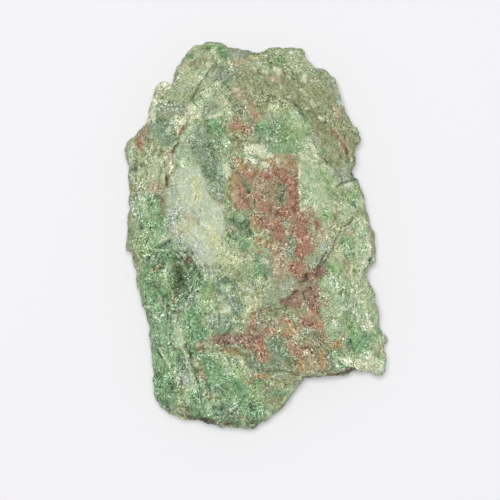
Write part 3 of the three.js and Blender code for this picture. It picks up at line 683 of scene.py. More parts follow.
        (2.1, 1.1, [(17, 3), (19, -3)]),
        (1.5, 0.65, [(8, -1), (11, -2)]),
        (1.5, 0.95, [(15, -8), (19, -10)]),
        (0.8, 0.7, [(20.5, 6.5), (21.5, 5)]),
        (0.7, 0.8, [(23, 3.5), (24, 2.5)]),
        (1.2, 1.1, [(22, -13), (22, -20)]),
        (1.3, 1.1, [(19, -22), (24, -23)]),
        (0.9, 0.9, [(16.5, -31), (17, -34)]),
        (0.6, 0.8, [(30, -28.5), (31.5, -28)]),
        (1.0, 1, [(25, -31), (26, -34)]),
        (0.5, 0.7, [(-39, -9), (-37.5, -8.5), (-36, -7.5)]),
        (0.7, 0.6, [(0, -25), (3.5, -24.5)]),
        (1.3, 1.15, [(0, -26), (2, -31)]),
        (0.5, 0.7, [(2.5, -36.5), (4.5, -36.5)]),
        (1.1, 1, [(11, 19), (14, 18)]),  # upper right of the red
        (0.8, 0.8, [(4.5, 19), (7.5, 18.5)]),
        (0.6, 0.6, [(-24, -31.5), (-23, -33.5)]),  # foot
        (0.5, 0.6, [(7, 20), (8.5, 20)]),
        (0.7, 0.9, [(-3.5, -28.5), (-0.5, -29)]),
        (0.8, 1, [(25, -25.5), (26, -26.5)]),
        (0.8, 0.75, [(-7.5, 30), (-6, 29)]),
        (1.0, 0.5, [(9, -5), (10, -7)]),
        (0.8, 0.5, [(25.5, -17), (26, -17.5)]),
        (1.0, 1, [(-8, 12), (-7, 8)]),  # left block of the red
        (1.0, 0.9, [(5, 6), (14, 5)]),
        (0.8, 0.75, [(1, 16), (4, 15.5), (6, 14.5)]),  # speckles inside the red
        (0.6, 0.8, [(13, 6), (16, 5)]),
        (0.5, 0.7, [(12.5, 17.5), (14, 17)]),
        (1.0, 0.5, [(-7, 12), (-6, 8)]),  # the red, lighter
        (0.8, 0.5, [(9.5, 18), (14.5, 17.5)]),
        (0.8, 0.8, [(-9.5, 27), (-7, 28.5), (-4.5, 27.5)]),  # orange over the red
    ],
    "ochre": [
        (0.3, 0.5, [(-2, 45.5), (-0.5, 45.5)]),
        (0.6, 0.5, [(0.5, 30), (1.5, 29.5)]),
        (0.3, 0.7, [(15.5, 27.25), (16.5, 27.75)]),
        (0.8, 0.5, [(-9, 27.5), (-5.5, 27)]),
        (0.8, 0.4, [(-3.5, 26.5), (-2, 27)]),
        (0.5, 0.6, [(-47.5, 12.5), (-47, 11)]),
        (0.4, 0.7, [(-10, 14.5), (-10, 9.5)]),
        (0.4, 0.55, [(-11, 1.5), (-10, 1)]),
        (0.7, 0.95, [(-7, 19), (-5.5, 18)]),  # orange rims of the red
        (0.7, 0.8, [(-8.5, 15.5), (-7.5, 12.5)]),
        (0.9, 0.8, [(11, 19.5), (14, 18)]),
        (0.6, 0.6, [(4.5, 15.5), (7, 16.5)]),
        (0.6, 0.6, [(1.5, 16.5), (0, 15)]),
        (0.7, 0.8, [(-0.5, 4.5), (0, 2)]),
        (0.6, 1.1, [(1, -1), (4, -2.5), (6, -1.5)]),
        (0.4, 0.65, [(1, -4), (2, -4.5)]),
        (0.2, 0.6, [(18.5, 10.25), (18.75, 9.5)]),
        (0.3, 0.5, [(37.5, 0), (38.5, -1)]),
        (0.8, 0.95, [(12, -25), (15.5, -24.5)]),
        (0.6, 0.9, [(-1.5, -21), (-0.5, -20.5)]),
        (0.8, 0.85, [(17, -33), (18, -34.5)]),
        (0.8, 0.6, [(25, -31.5), (25.5, -33.5)]),
        (0.8, 1, [(30.5, -28.5), (32, -28)]),  # orange spot of the plate
        (0.2, 0.3, [(-18.75, -10.75), (-18.25, -11.5)]),
        (0.3, 0.8, [(-29.5, -29), (-28, -29.5)]),
        (0.6, 0.6, [(-23, -33.5), (-20.5, -34)]),
        (0.3, 0.7, [(-17.5, -29), (-16.75, -30)]),
        (0.8, 0.75, [(-12, -30), (-10, -30)]),
        (0.6, 0.7, [(-8, -29.5), (-7, -31)]),
        (0.6, 0.6, [(0, -25), (1.5, -26.5)]),
        (0.5, 0.85, [(0, -36.5), (4.5, -36.5)]),
        (0.4, 0.9, [(-3, -38), (-2, -38.5)]),
        (0.4, 0.7, [(3.5, -38.5), (4.5, -39.5)]),
        (0.3, 0.6, [(9, -42.5), (10.5, -42.5)]),
        (0.8, 0.9, [(-6.5, 18.5), (-5.5, 17.5)]),
        (0.7, 0.8, [(-7.5, 18), (-5.5, 19)]),
        (0.6, 0.5, [(7.5, 19.5), (10, 19)]),
        (0.7, 0.7, [(11, 19.5), (12.5, 18)]),
        (0.8, 0.45, [(-8.5, 12), (-7, 9)]),
        (1.0, 0.4, [(6, 19), (13, 19)]),
    ],
    "red": [
        (0.4, 0.8, [(-26, 29.5), (-27.5, 28), (-29, 26.5)]),
        (0.5, 0.8, [(-45, 24.5), (-44.5, 23.5)]),
        (0.5, 0.6, [(29, 26.5), (30.5, 25.5)]),
        (0.4, 0.65, [(34, 23.5), (35, 21)]),
        (0.5, 0.55, [(-1.5, 31.5), (0.5, 31)]),
        (0.4, 0.65, [(-36, 9), (-36, 8.5)]),
        (0.3, 0.8, [(-34.5, 13.5), (-34, 12.5)]),
        (0.7, 0.95, [(-6, 11.5), (-6, 9)]),
        (0.6, 0.7, [(-4.5, 7.5), (-3.5, 8.5)]),
        (0.7, 1, [(-3.5, 16), (-2.5, 15.5)]),
        (0.8, 0.8, [(2.5, 15.5), (5.5, 15)]),
        (1.1, 0.95, [(9, 16), (12, 14)]),
        (0.9, 1, [(14, 13.5), (14, 8.5)]),
        (1.0, 0.95, [(13, 7), (15, 6)]),
        (0.9, 0.9, [(2.5, 7.5), (4.5, 7)]),
        (0.6, 0.7, [(0, 10), (1, 9.5)]),
        (0.9, 0.8, [(2, 3.5), (4.5, 2.5)]),
        (1.1, 0.75, [(8, 3), (9, 0)]),
        (1.0, 0.95, [(16, 5), (18, 3)]),
        (1.1, 0.95, [(16, 1), (19, -1)]),
        (1.3, 1, [(19, -3), (17, -4)]),
        (0.6, 0.8, [(23, 3), (23.5, 2)]),
        (0.6, 1, [(17.5, -5), (17.5, -5.5)]),
        (1.0, 0.8, [(14, -8), (17, -8)]),
        (0.6, 0.6, [(22.5, -10), (25.5, -9)]),
        (0.8, 0.8, [(15, -9), (16, -11)]),
        (0.6, 0.5, [(21.5, -15), (21.5, -16)]),
        (0.6, 0.9, [(21.5, -19), (22, -20)]),
        (0.8, 0.85, [(19.5, -22), (24, -23.5)]),
        (0.5, 0.8, [(10, -25.5), (11.5, -26)]),
        (0.7, 0.7, [(11, -21.5), (12.5, -22.5)]),
        (0.5, 0.8, [(-0.5, -22), (-2, -23.5)]),
        (0.5, 0.85, [(4.5, -24.5), (6, -25)]),
        (0.8, 0.6, [(15.5, -30), (14, -28.5)]),
        (0.6, 0.6, [(18.5, -29), (20.5, -28.5)]),
        (0.5, 0.45, [(25.5, -32.5), (26, -33.5)]),
        (0.4, 0.8, [(35, -35), (38, -34.5)]),
        (0.3, 0.75, [(-26, -5.5), (-26, -7)]),
        (0.3, 0.7, [(-39, -9), (-37.75, -8.75)]),
        (0.4, 0.7, [(-23.5, -32), (-22, -32.5)]),
        (0.6, 0.5, [(-7.5, -27), (-3, -27)]),
        (0.9, 0.9, [(1.5, -26.5), (2.5, -29.5)]),
        (0.2, 0.6, [(-21.25, -28.25), (-18.75, -26.5)]),
        (0.9, 0.95, [(1, -27), (2, -29.5)]),
        (0.6, 0.8, [(2.5, -31), (3.5, -32.5)]),
        (0.8, 0.6, [(-3, -25.5), (-1.5, -24.5)]),
        (0.7, 0.5, [(13.5, 20), (14, 17.5)]),
        (0.6, 0.5, [(5.5, 19.5), (7.5, 17)]),
        (0.8, 1, [(11, 6.5), (12, 5.5)]),
        (1.0, 0.95, [(-6, 12), (-6, 8)]),
        (0.7, 0.6, [(7.5, 5.5), (14, 5)]),
        (0.5, 0.8, [(-0.5, 10.5), (1, 9.5)]),
        (0.7, 0.8, [(12.5, 10), (15, 9.5)]),
        (0.7, 0.8, [(12.5, 7), (15, 7)]),
        (0.6, 0.6, [(22, -9), (25, -10.5)]),
        (0.5, 0.6, [(19.5, -2), (22, -3.5)]),
        (0.5, 0.6, [(-8, 28.5), (-5, 27.5)]),
    ],
    "rose": [
        (0.7, 0.45, [(23.5, -7.5), (26.5, -5.5)]),
        (1.1, 1, [(20, -11), (25, -9)]),
        (0.8, 0.6, [(17.5, -13), (18.5, -14.5)]),
        (0.9, 1.05, [(11, -17), (14.5, -15.5)]),
        (1.0, 0.9, [(21, -14), (22, -17)]),
        (0.7, 0.6, [(16, -21), (17.5, -22.5)]),
        (1.1, 0.9, [(-15, -27), (-7, -27), (-1, -27)]),  # rust band of the foot
        (0.8, 0.8, [(-3, -26.5), (1, -26)]),
        (0.7, 0.8, [(-3.5, -28.5), (-0.5, -29)]),
        (0.9, 1, [(13, -17.5), (16, -18)]),
        (0.8, 0.5, [(6, -4), (7.5, -4.5)]),
    ],
    # dark green stone, and painted shade in the hollow, in folds and along the lower edge
    "deepGreenAndShade": [
        # painted shadow of a fold across the crown
        (0.2, 0.65, [(-11.75, 36.25), (-9, 34.25), (-6.75, 32), (-5.25, 30)]),
        (1.0, 0.5, [(-37, 30), (-35, 29)]),
        (0.2, 0.4, [(9.75, 44), (12.75, 43.5), (14.25, 42.5)]),
        (0.3, 0.55, [(4.5, 46), (5, 44.5)]),
        (0.4, 0.6, [(13, 35), (16.5, 33), (19, 30)]),  # painted shade of the fold under the crown
        (0.8, 0.45, [(20.5, 32), (23.5, 30.5)]),
        (0.3, 0.8, [(26, 29.5), (27, 29)]),
        (0.6, 0.5, [(38.5, 26), (39, 25)]),
        (0.6, 0.5, [(2.5, 27), (4, 26.5)]),
        (0.6, 0.7, [(-19, 29), (-17.5, 26.5)]),
        (0.6, 0.85, [(-47, 18), (-46.5, 17)]),
        (0.4, 0.7, [(-46.5, 11.5), (-45.5, 10.5)]),
        (0.5, 0.75, [(-38.5, 10), (-36, 10)]),
        (0.6, 0.6, [(-44.5, 3), (-43.5, 2)]),
        (0.8, 0.5, [(-48, 1), (-47.5, -1)]),
        (0.9, 0.7, [(-18, 17), (-16.5, 14.5)]),
        (0.6, 0.5, [(-18.5, 21.5), (-16.5, 20)]),
        (0.5, 0.6, [(-9, 18.5), (-8.5, 17.5)]),
        (0.8, 0.75, [(-8.5, 3.5), (-7, 2.5)]),
        (0.9, 0.8, [(-4.5, 2.5), (-3, 0.5)]),
        (0.4, 0.6, [(37, 8.5), (37.5, 7.5)]),
        (0.7, 0.6, [(35.5, -27.5), (36, -29)]),
        (0.8, 0.5, [(22.5, -25.5), (24.5, -26.5)]),
        (0.6, 0.6, [(11.5, -32), (14, -32.5)]),
        (0.2, 0.5, [(15.75, -21.25), (17, -22)]),
        (0.8, 0.5, [(-11.5, -11.5), (-8.5, -11.5)]),
        (0.5, 0.5, [(-8.5, -19.5), (-6, -19.5)]),
        (0.3, 1, [(-34.5, -2), (-32.5, -1)]),
        (0.2, 0.8, [(-40.5, -5.75), (-38.5, -3.75), (-35.5, -2.5)]),
        (0.2, 0.7, [(-37.5, -7), (-35.5, -4.75), (-32.75, -3.5)]),
        (0.3, 0.8, [(-30.5, -6), (-27.5, -7), (-26, -8.5)]),
        (0.2, 0.6, [(-32, -4.25), (-28.25, -5.75), (-26.75, -6.75)]),
        (0.5, 0.4, [(-25.5, -11.5), (-24.5, -13.5)]),
        (0.6, 0.45, [(6.5, -32.5), (8.5, -33.5)]),
        (0.4, 0.4, [(-38.5, -5), (-37.5, -5.5)]),
        (0.6, 0.4, [(-12.5, 39), (-11, 38.5)]),
        (0.6, 0.4, [(1, 24), (3, 23.5)]),
        (0.5, 0.65, [(-3.5, 13), (-2.5, 12)]),  # specks in the red
        (0.4, 0.6, [(11, 12.5), (11, 11.5)]),
        (0.4, 0.6, [(9.5, 10), (11.5, 9.5)]),
        (0.4, 0.5, [(10.5, 8.5), (9.5, 8)]),
        (0.3, 0.55, [(-0.5, 8.5), (-0.5, 8)]),
        (0.4, 0.45, [(3, 11.5), (4, 11)]),
        (0.4, 0.6, [(13.5, -1), (14, -3)]),
        (0.3, 0.55, [(12.5, -4.5), (14, -5.5)]),
        (0.8, 0.95, [(-30, -8.5), (-29.5, -13)]),  # painted shade in the hollow
        (0.2, 0.8, [(-26.25, -12), (-25.25, -9.75), (-23.25, -8.25)]),  # curved folds right of it
        (0.2, 0.8, [(-24.75, -12.5), (-23.25, -10.5), (-21.25, -9.5)]),
        (0.2, 0.8, [(-22.75, -13.25), (-21.25, -11.25)]),
        (0.2, 0.8, [(-27.5, -16.75), (-25.25, -14.5), (-21.75, -12.75)]),
        (0.2, 0.6, [(-26, -18.25), (-23.5, -16)]),
        (0.6, 0.8, [(-39.5, -12.5), (-37.5, -13.5)]),
        (0.3, 0.8, [(-40.5, -12), (-39.75, -11)]),
        (0.5, 0.8, [(-34.5, -15.5), (-33.5, -19)]),
        (0.4, 0.7, [(-33.5, -20), (-33, -22.5)]),
        (0.7, 0.5, [(-22, -24.5), (-20, -25.5)]),
        (0.4, 0.5, [(-33, -22.5), (-31.5, -24.5)]),
        (0.5, 0.8, [(-26.5, -28.5), (-24.5, -31), (-22.5, -35)]),
        (0.6, 0.6, [(-29, -32.5), (-27.5, -34.5)]),
        (0.6, 0.5, [(-37.5, -35), (-36.5, -37)]),
        (0.8, 0.6, [(-35, -43.5), (-33, -45)]),
        (0.4, 0.5, [(-33.5, -38.5), (-33, -40.5)]),
        (0.8, 0.5, [(-25, -45), (-22, -46)]),
        # painted shadow along the lower edge
        (0.8, 0.7, [(-13, -48), (-7, -49)]),
        (0.6, 0.6, [(-23, -47), (-20, -47.5)]),
        (0.6, 0.6, [(-18.5, -37.5), (-18, -39.5)]),
        (0.6, 0.6, [(-16, -44.5), (-13.5, -45)]),
        (1.0, 1, [(-2, -48), (0, -49)]),
        (0.8, 0.7, [(5.5, -40.5), (8.5, -41)]),
        (0.8, 0.8, [(-41, -6), (-40.5, -7.5)]),
        (0.7, 0.75, [(-12, 39), (-11, 38)]),
        (1.0, 0.65, [(7, -33), (8, -34)]),
        (0.6, 0.4, [(36.5, 1), (37, 0)]),
        (0.8, 0.5, [(-29, -21.5), (-28, -22.5)]),
        (0.6, 0.6, [(-38.5, -4.5), (-38, -5.5)]),
        (0.8, 0.55, [(-13.5, -39.5), (-12, -40.5)]),
        # painted shadow along the lower edge
        (0.7, 0.8, [(-25, -47), (-21.5, -47.5), (-16.5, -48.5)]),
        (0.8, 0.45, [(-26.5, 24), (-25, 24.5)]),
        (0.6, 0.4, [(-27, 22.5), (-26.5, 22)]),
        (0.8, 0.4, [(22.5, 26), (23, 25)]),
        (0.7, 0.35, [(37, -12.5), (37, -13.5)]),
        (0.8, 0.4, [(6, 44), (7.5, 43.5)]),
        (0.8, 0.4, [(-19, 21), (-18.5, 20)]),
        (0.8, 0.35, [(-13, 18.5), (-12, 17.5)]),
        (0.8, 0.5, [(-10, -45), (-8.5, -45.5)]),
        (0.6, 0.4, [(4, -38.5), (4.5, -39.5)]),
        (0.8, 0.4, [(-41, -19.5), (-41, -20.5)]),
        (0.8, 0.6, [(-12, -47), (-10.5, -47.5)]),
        (0.8, 0.5, [(-1.5, -44.5), (-0.5, -45.5)]),
        (0.8, 0.5, [(-40, 26.5), (-39.5, 25.5)]),
        (0.8, 0.4, [(30.5, -25), (32, -25.5)]),
        (0.8, 0.5, [(-19, -37.5), (-18, -38.5)]),
        (0.8, 0.4, [(-18, 23.5), (-17, 22.5)]),
        (0.8, 0.4, [(20.5, 27.5), (21, 27)]),
        (0.8, 0.45, [(34, -9), (34.5, -10)]),
        (0.8, 0.5, [(-32, -39.5), (-31.5, -40)]),
        (0.6, 0.5, [(-26.5, 24.5), (-25, 23.5)]),
        (0.5, 0.55, [(-4, 14.5), (-3.5, 13.5), (-2.5, 11.5)]),
        (0.6, 0.55, [(9.5, 12.5), (10.5, 10.5), (9.5, 8)]),
        (0.4, 0.5, [(7.5, 9.5), (11.5, 8.5)]),
        (0.6, 0.4, [(13.5, 24), (16, 22)]),
        (0.7, 0.5, [(-1, -12.5), (-0.5, -13)]),
        (0.8, 0.45, [(35.5, -18), (36.5, -18.5)]),
        (0.7, 0.45, [(-26.5, 25), (-25.5, 24.5)]),
        (0.8, 0.35, [(30.5, -12.5), (31.5, -13)]),
        (0.8, 0.4, [(-36, -30.5), (-35.5, -31)]),
        (0.8, 0.35, [(-1, 44.5), (0, 44)]),
        (0.8, 0.4, [(-42, -10.5), (-41, -11)]),
        (0.8, 0.35, [(9, 32), (10, 31.5)]),
        (0.8, 0.5, [(-24, -47), (-22.5, -47.5)]),
        (1.0, 0.25, [(31, -1), (34, -7)]),
        (1.0, 0.25, [(35, -17), (37, -22)]),
        (0.8, 0.45, [(-40.5, -12.5), (-38, -14)]),
        (0.7, 0.5, [(-1.5, -12.5), (-0.5, -13.5)]),  # darker spots
        (0.8, 0.45, [(2, 24.5), (3, 24)]),
        (0.8, 0.4, [(35.5, -18), (36.5, -18.5)]),
        (1.0, 0.4, [(-17, -39), (-16, -40)]),
        (0.8, 0.45, [(-13.5, 38), (-12, 37.5)]),
        (0.7, 0.45, [(-26, 25), (-25, 24.5)]),
        (0.8, 0.4, [(-22, -41.5), (-21, -42)]),
        (0.8, 0.4, [(-31.5, -41), (-30.5, -41.5)]),
        (0.8, 0.4, [(-38.5, -4), (-38, -4.5)]),
        (0.8, 0.4, [(1.5, -11.5), (3, -12)]),
        (0.8, 0.4, [(-17.5, -45.5), (-16.5, -46)]),
        (0.7, 0.35, [(-24, -12.5), (-23, -13.5)]),
        (0.8, 0.4, [(33.5, -26.5), (34.5, -27)]),
        (0.8, 0.35, [(36.5, -12.5), (37.5, -13)]),
        (0.7, 0.35, [(37, 1), (38, 0.5)]),
        (0.8, 0.4, [(5, -39), (6, -39.5)]),
        (0.7, 0.45, [(-29.5, -16), (-29, -17)]),
        (1.7, 0.2, [(2, -22), (8, -28)]),
        (1.7, 0.2, [(32, -4), (36, -22)]),
        (2.3, 0.18, [(-10, 42), (8, 38)]),
        (1.0, 0.55, [(36, -16), (37, -19)]),
        (0.8, 0.5, [(-2, -13), (-1.5, -13.5)]),
        (0.7, 0.4, [(0.5, -11.5), (1, -12)]),
        (0.7, 0.5, [(-13.5, 38), (-12.5, 37.5)]),
        (0.8, 0.45, [(43.5, -23), (44.5, -23.5)]),
        (0.6, 0.4, [(27, -7.5), (29, -9)]),
    ],
    # dark brown stone, and painted shadow along the steps of the cracks, under the lip of the plate and
    # along the lower edge
    "umberAndShade": [
        (0.5, 0.45, [(-7, 33.5), (-5, 32.5)]),
        (0.3, 0.8, [(34.5, 22.25), (35, 21.25)]),
        (0.4, 0.7, [(-44, 18), (-42.5, 18)]),
        (0.2, 0.9, [(-41.5, 16)]),
        (0.2, 0.6, [(-45.75, 14.5), (-45.5, 14)]),
        (0.2, 0.9, [(-29.75, 23.75), (-31, 22.75), (-31.75, 21.75), (-32, 20.5)]),
        (0.2, 0.75, [(-31.25, 17.75), (-31.75, 16.5), (-32.75, 15.5), (-33.25, 14.75)]),
        (0.2, 0.5, [(-24, 6.25), (-22.75, 5.25)]),
        (0.2, 0.4, [(-22, 4.5), (-21.75, 2.5)]),
        (0.3, 0.6, [(-2, 19), (-1.5, 19)]),
        (0.3, 0.5, [(1, 18.5), (2.5, 19)]),
        (0.2, 0.5, [(35, 11.5), (36.75, 11)]),
        (0.2, 0.7, [(37.5, 4.5), (35.75, 3), (34.25, 2.5), (32.5, 2)]),
        (0.2, 0.45, [(32.5, 2), (31.75, 0), (30.25, -1.25), (29.5, -2.75), (28.75, -3.75)]),
        (0.2, 0.8, [(28.75, -3.75), (27.75, -5.75), (25.75, -7.25), (24.25, -8.5)]),
        (0.2, 0.8, [(26.75, -4.5), (25, -6.5), (24.25, -7.5)]),
        (0.2, 0.7, [(23.75, -6.25), (23.75, -8)]),
        (0.2, 0.8, [(15.75, -14.25), (13.5, -15.5), (11.25, -16.75), (9.75, -17.25)]),
        (0.2, 0.6, [(18, -15), (19.25, -17.75)]),
        (0.2, 0.6, [(5.75, -18.75), (6.25, -19.75)]),
        (0.3, 0.55, [(18.75, -29.25), (20.25, -29)]),
        (0.2, 0.8, [(17.75, -36.75), (21.5, -37), (25.25, -36.75)]),  # painted shadow under the lip of the plate
        (0.3, 1, [(27.25, -36), (30.75, -36), (34.25, -35.75)]),
        (0.2, 0.6, [(2.5, -35), (6.25, -35.75), (10.75, -35), (14.75, -36), (17.75, -36.5)]),
        (0.5, 1, [(34, -35.5), (37, -35), (39, -34.5)]),
        (0.5, 0.5, [(19, -10.5), (22.5, -9.5)]),
        (0.2, 0.6, [(-29.25, -13.75), (-30, -16.25)]),
        (0.2, 0.6, [(-24, -5), (-21.25, -7.5), (-20.25, -9)]),
        (0.3, 0.75, [(-31.5, -20), (-30.5, -19.5)]),
        (0.3, 0.6, [(-28.5, -36.75), (-28.25, -38.75)]),
        # painted shadow along the lower edge
        (0.4, 0.7, [(-26.5, -47), (-25, -47.5)]),
        (0.7, 1, [(-21, -48), (-17, -48.5)]),
        (0.3, 0.9, [(-12, -49), (-9, -49)]),
        (0.3, 0.5, [(-12, -27.5), (-9, -28)]),
        (0.2, 0.95, [(18, -14.75), (18.75, -16.5), (19.5, -18)]),  # the middle
        (0.2, 0.8, [(23.5, -5.75), (23.5, -8.5), (23, -10.5)]),
        (0.6, 0.3, [(-30, -12.5), (-30, -15.5)]),
        (0.6, 0.55, [(-42, 25), (-41.5, 24)]),
        (0.8, 0.45, [(0, 26.5), (1.5, 25.5)]),
        (0.8, 0.35, [(6.5, 27.5), (7.5, 26.5)]),
        (0.6, 0.3, [(-19.5, 48.5), (-18.5, 48.5)]),
        (0.6, 0.8, [(34.5, -35), (36.5, -35)]),
        (0.8, 0.25, [(-5, 25), (-3.5, 24.5)]),
        (0.6, 0.35, [(-2, -28.5), (-0.5, -29)]),
        (0.6, 0.4, [(11.5, -16), (12.5, -16.5)]),
        (1.0, 0.3, [(1, 6), (2, 6)]),
        (1.0, 0.3, [(2, 24), (3, 24)]),
        (0.8, 0.3, [(-2, 29), (-1, 28.5)]),
        (0.8, 0.35, [(-6, 24.5), (-3, 24.5)]),
        (0.6, 0.35, [(29, 32), (30, 31)]),
        (0.8, 0.25, [(-5.5, 20), (-4, 19.5)]),
        (0.8, 0.35, [(32.5, 26), (33.5, 25.5)]),
        (0.8, 0.25, [(6.5, 34.5), (7.5, 34)]),
        (0.3, 0.5, [(6.5, 12.5), (7.5, 11)]),
        (0.9, 0.35, [(6, 7), (8, 5)]),
        (0.7, 0.3, [(8.5, 16.5), (11, 15.5)]),
        (0.7, 0.35, [(1.5, 24), (2.5, 23.5)]),
        (0.8, 0.35, [(3.5, -11.5), (4.5, -12)]),
        (0.6, 0.5, [(37, -34.5), (37.5, -35)]),
        (0.8, 0.35, [(1, -22), (2, -22.5)]),
        (0.8, 0.4, [(7, -23), (8, -23.5)]),
        (0.7, 0.35, [(-2, -28.5), (-1, -29)]),
        (0.8, 0.6, [(-20, -48), (-18.5, -48.5)]),
        (0.8, 0.45, [(-7, 32.5), (-6, 32)]),
        (0.8, 0.4, [(20, -29), (21, -30)]),
        (0.8, 0.4, [(-2, -28), (-1, -29)]),
        (0.8, 0.4, [(33, -31), (34, -31.5)]),
        (0.8, 0.3, [(0.5, -22), (1.5, -22.5)]),
        (0.8, 0.4, [(-2, 28), (-1, 27.5)]),
        (0.7, 0.35, [(-5.5, -27.5), (-4, -28)]),
        (0.7, 0.3, [(-8, 19.5), (-7, 19)]),
        (0.8, 0.35, [(18.5, -17), (19.5, -17.5)]),
        (0.8, 0.35, [(6, 44), (7, 43.5)]),
        (0.9, 0.45, [(36, -17), (37, -18.5)]),
        (0.6, 0.45, [(-1, -13), (-0.5, -13.5)]),
        (0.6, 0.45, [(1.5, 24), (2.5, 23.5)]),
        (0.7, 0.35, [(7.5, 20), (8, 19.5)]),
    ],
    # painted shade in the carved pits, the hollow and a crack's end, and painted shadow along the lower
    # edge
    "pitShade": [
        (0.3, 0.9, [(-34, 15), (-34, 13.25)]),
        (0.3, 0.65, [(3.5, -10.5), (4.5, -11.5)]),
        (0.3, 0.8, [(44, -6), (43.5, -7)]),
        (0.3, 0.6, [(17.5, -12), (20, -11)]),
        (0.4, 0.65, [(-29.5, -9.5), (-28.5, -13)]),
        (0.3, 0.8, [(-27, -4.5), (-25.5, -4.5)]),
        (0.2, 0.6, [(-37.5, -8.75), (-36.5, -8), (-35.5, -8.5)]),
        # painted shadow along the lower edge
        (0.6, 0.6, [(-20, -48), (-17.5, -48.5)]),
    ],
    "facet": [
        (1.1, 1.2, [(10, -14), (12, -13)]),  # smooth grey break
        (1.0, 1.1, [(14, -12), (11, -15)]),
        (0.8, 0.6, [(4, -17), (6, -18.5)]),
        (0.8, 1, [(21.5, -7.5), (23, -6.5)]),
        (0.6, 0.5, [(20.5, -12.5), (24, -12)]),
        (1.0, 0.45, [(1, -22), (2, -23)]),
        (0.6, 0.75, [(11, 3), (12, 2.5)]),
        (0.6, 0.5, [(14, -1.5), (13, -4)]),
        (1.1, 0.5, [(36, -17), (37, -18)]),
        (0.8, 0.6, [(-8.5, 2), (-8, 1)]),
        (1.1, 0.6, [(-28, 22), (-26, 24)]),
        (0.6, 0.6, [(-18.5, -28.5), (-17.5, -29)]),
        (1.1, 0.5, [(0, -13), (0, -14)]),
        (0.8, 0.7, [(22.5, 25.5), (23, 24.5)]),
        (0.8, 0.4, [(2, 24), (3, 23.5)]),
        (0.8, 0.9, [(-35, 38.5), (-34.5, 38)]),
        (0.8, 0.7, [(45, -22.5), (45, -23.5)]),
        (0.6, 0.35, [(-30.5, -13), (-30.5, -14)]),
        (0.8, 0.5, [(5.5, 24), (6.5, 22)]),
    ],
    "cream": [
        (0.3, 0.9, [(-14.75, 39.5), (-14, 38.5)]),
        (0.3, 0.9, [(-16.75, 47.75), (-16, 47.25)]),
        (0.4, 0.8, [(-20, 36), (-17.5, 36.5)]),
        (0.4, 0.8, [(-17.5, 30.5), (-13, 31.5)]),
        (0.3, 1, [(-4, 34.5)]),
        (0.3, 1, [(-3.75, 33)]),
        (0.8, 1, [(-36.5, 38.5), (-34, 39)]),  # knob
        (0.4, 0.8, [(-36, 34.5), (-34.5, 34.5)]),
        (0.6, 0.7, [(-39.5, 35.5), (-40, 33)]),  # left edge
        (0.8, 0.95, [(-40.5, 31.5), (-42, 29.5)]),
        (0.5, 0.75, [(-31, 30.5), (-28.5, 30.5)]),
        (1.0, 0.95, [(-25, 33), (-24, 31)]),  # beside the crack
        (0.8, 0.9, [(-30, 29.5), (-27.5, 29.5)]),
        (0.4, 0.8, [(3, 42.5), (4, 42)]),
        (0.5, 0.8, [(7.5, 43), (9.5, 42)]),
        (0.4, 0.9, [(18.5, 41.5), (19, 40)]),
        (0.4, 0.6, [(17.5, 37.5), (19, 36.5)]),
        (0.4, 0.95, [(21.5, 34.5), (22.5, 33.5)]),
        (0.3, 0.8, [(19.5, 32.75), (20.25, 32.75)]),
        (0.4, 1.1, [(24.5, 30.5), (25.5, 30)]),
        (0.4, 0.7, [(5.5, 33), (8, 33.5)]),
        (0.3, 0.6, [(9.5, 38.5), (9.5, 38)]),
        (0.5, 0.6, [(-32, 19), (-31.5, 20.5)]),
        (0.7, 0.9, [(-11, 17.5), (-10.5, 15.5)]),
        (1.0, 1.1, [(-2, 22), (2, 22)]),  # over the red
        (0.6, 0.8, [(3, 21), (5.5, 20.5)]),
        (0.7, 0.75, [(-3, 19.5), (0, 19)]),
        (0.5, 0.8, [(2.5, 18.5), (4.5, 18)]),
        (0.3, 0.65, [(4.25, 1.25), (5, 0.75)]),
        (0.3, 0.65, [(11.5, 1), (12, 0.25)]),
        (0.2, 0.7, [(17, 18.75), (16.5, 14.75)]),
        (0.2, 0.6, [(16.5, 12.25), (17, 9.75)]),
        (0.3, 0.8, [(17.75, 20), (18, 19.5)]),
        (0.4, 0.8, [(21, 23), (22.5, 21.5)]),
        (0.3, 0.9, [(19.5, 20), (20.5, 19.5)]),
        (0.4, 0.5, [(22.5, 14), (24, 12.5)]),
        (0.3, 0.7, [(35.5, 14), (36.5, 12.5)]),
        (0.4, 0.7, [(32, -18), (33, -19)]),
        (0.4, 0.7, [(38.5, -15.5), (40, -17)]),
        (0.4, 0.7, [(29, -22), (31.5, -23)]),
        (0.5, 0.7, [(42, -19), (43.5, -20.5)]),
        (0.4, 0.6, [(37.5, -19.5), (39, -21)]),
        (0.4, 0.5, [(35.5, -17), (36, -18)]),
        (0.7, 0.7, [(43, -22), (44.5, -24)]),
        (0.8, 1, [(35, -32.5), (36.5, -33)]),
        (0.9, 1.1, [(39, -33), (40, -34)]),
        (0.6, 0.5, [(43, -31), (46, -33)]),
        (0.4, 0.7, [(30.5, -32.5), (31.5, -34)]),
        (0.6, 0.85, [(-13, -19.5), (-10.5, -19)]),
        (0.9, 0.7, [(35.5, -32.5), (36.5, -33)]),
        (1.1, 0.75, [(42, -33), (46, -34)]),
        (0.7, 0.7, [(38.5, -33), (40, -34)]),
        (0.7, 0.8, [(-24.5, 33), (-24.5, 30.5)]),
        (1.0, 0.6, [(42, -32), (45, -34)]),
        (0.5, 0.8, [(32.5, -32), (33.5, -32.5)]),
        (0.2, 0.7, [(-23.25, -4.75), (-21, -6.75), (-19, -9)]),
        (0.2, 0.8, [(-42.75, -18.75), (-40, -18.5)]),
        (0.3, 0.8, [(-26.5, -40), (-25, -40)]),
        (0.8, 0.9, [(-3, 22.5), (0, 22)]),
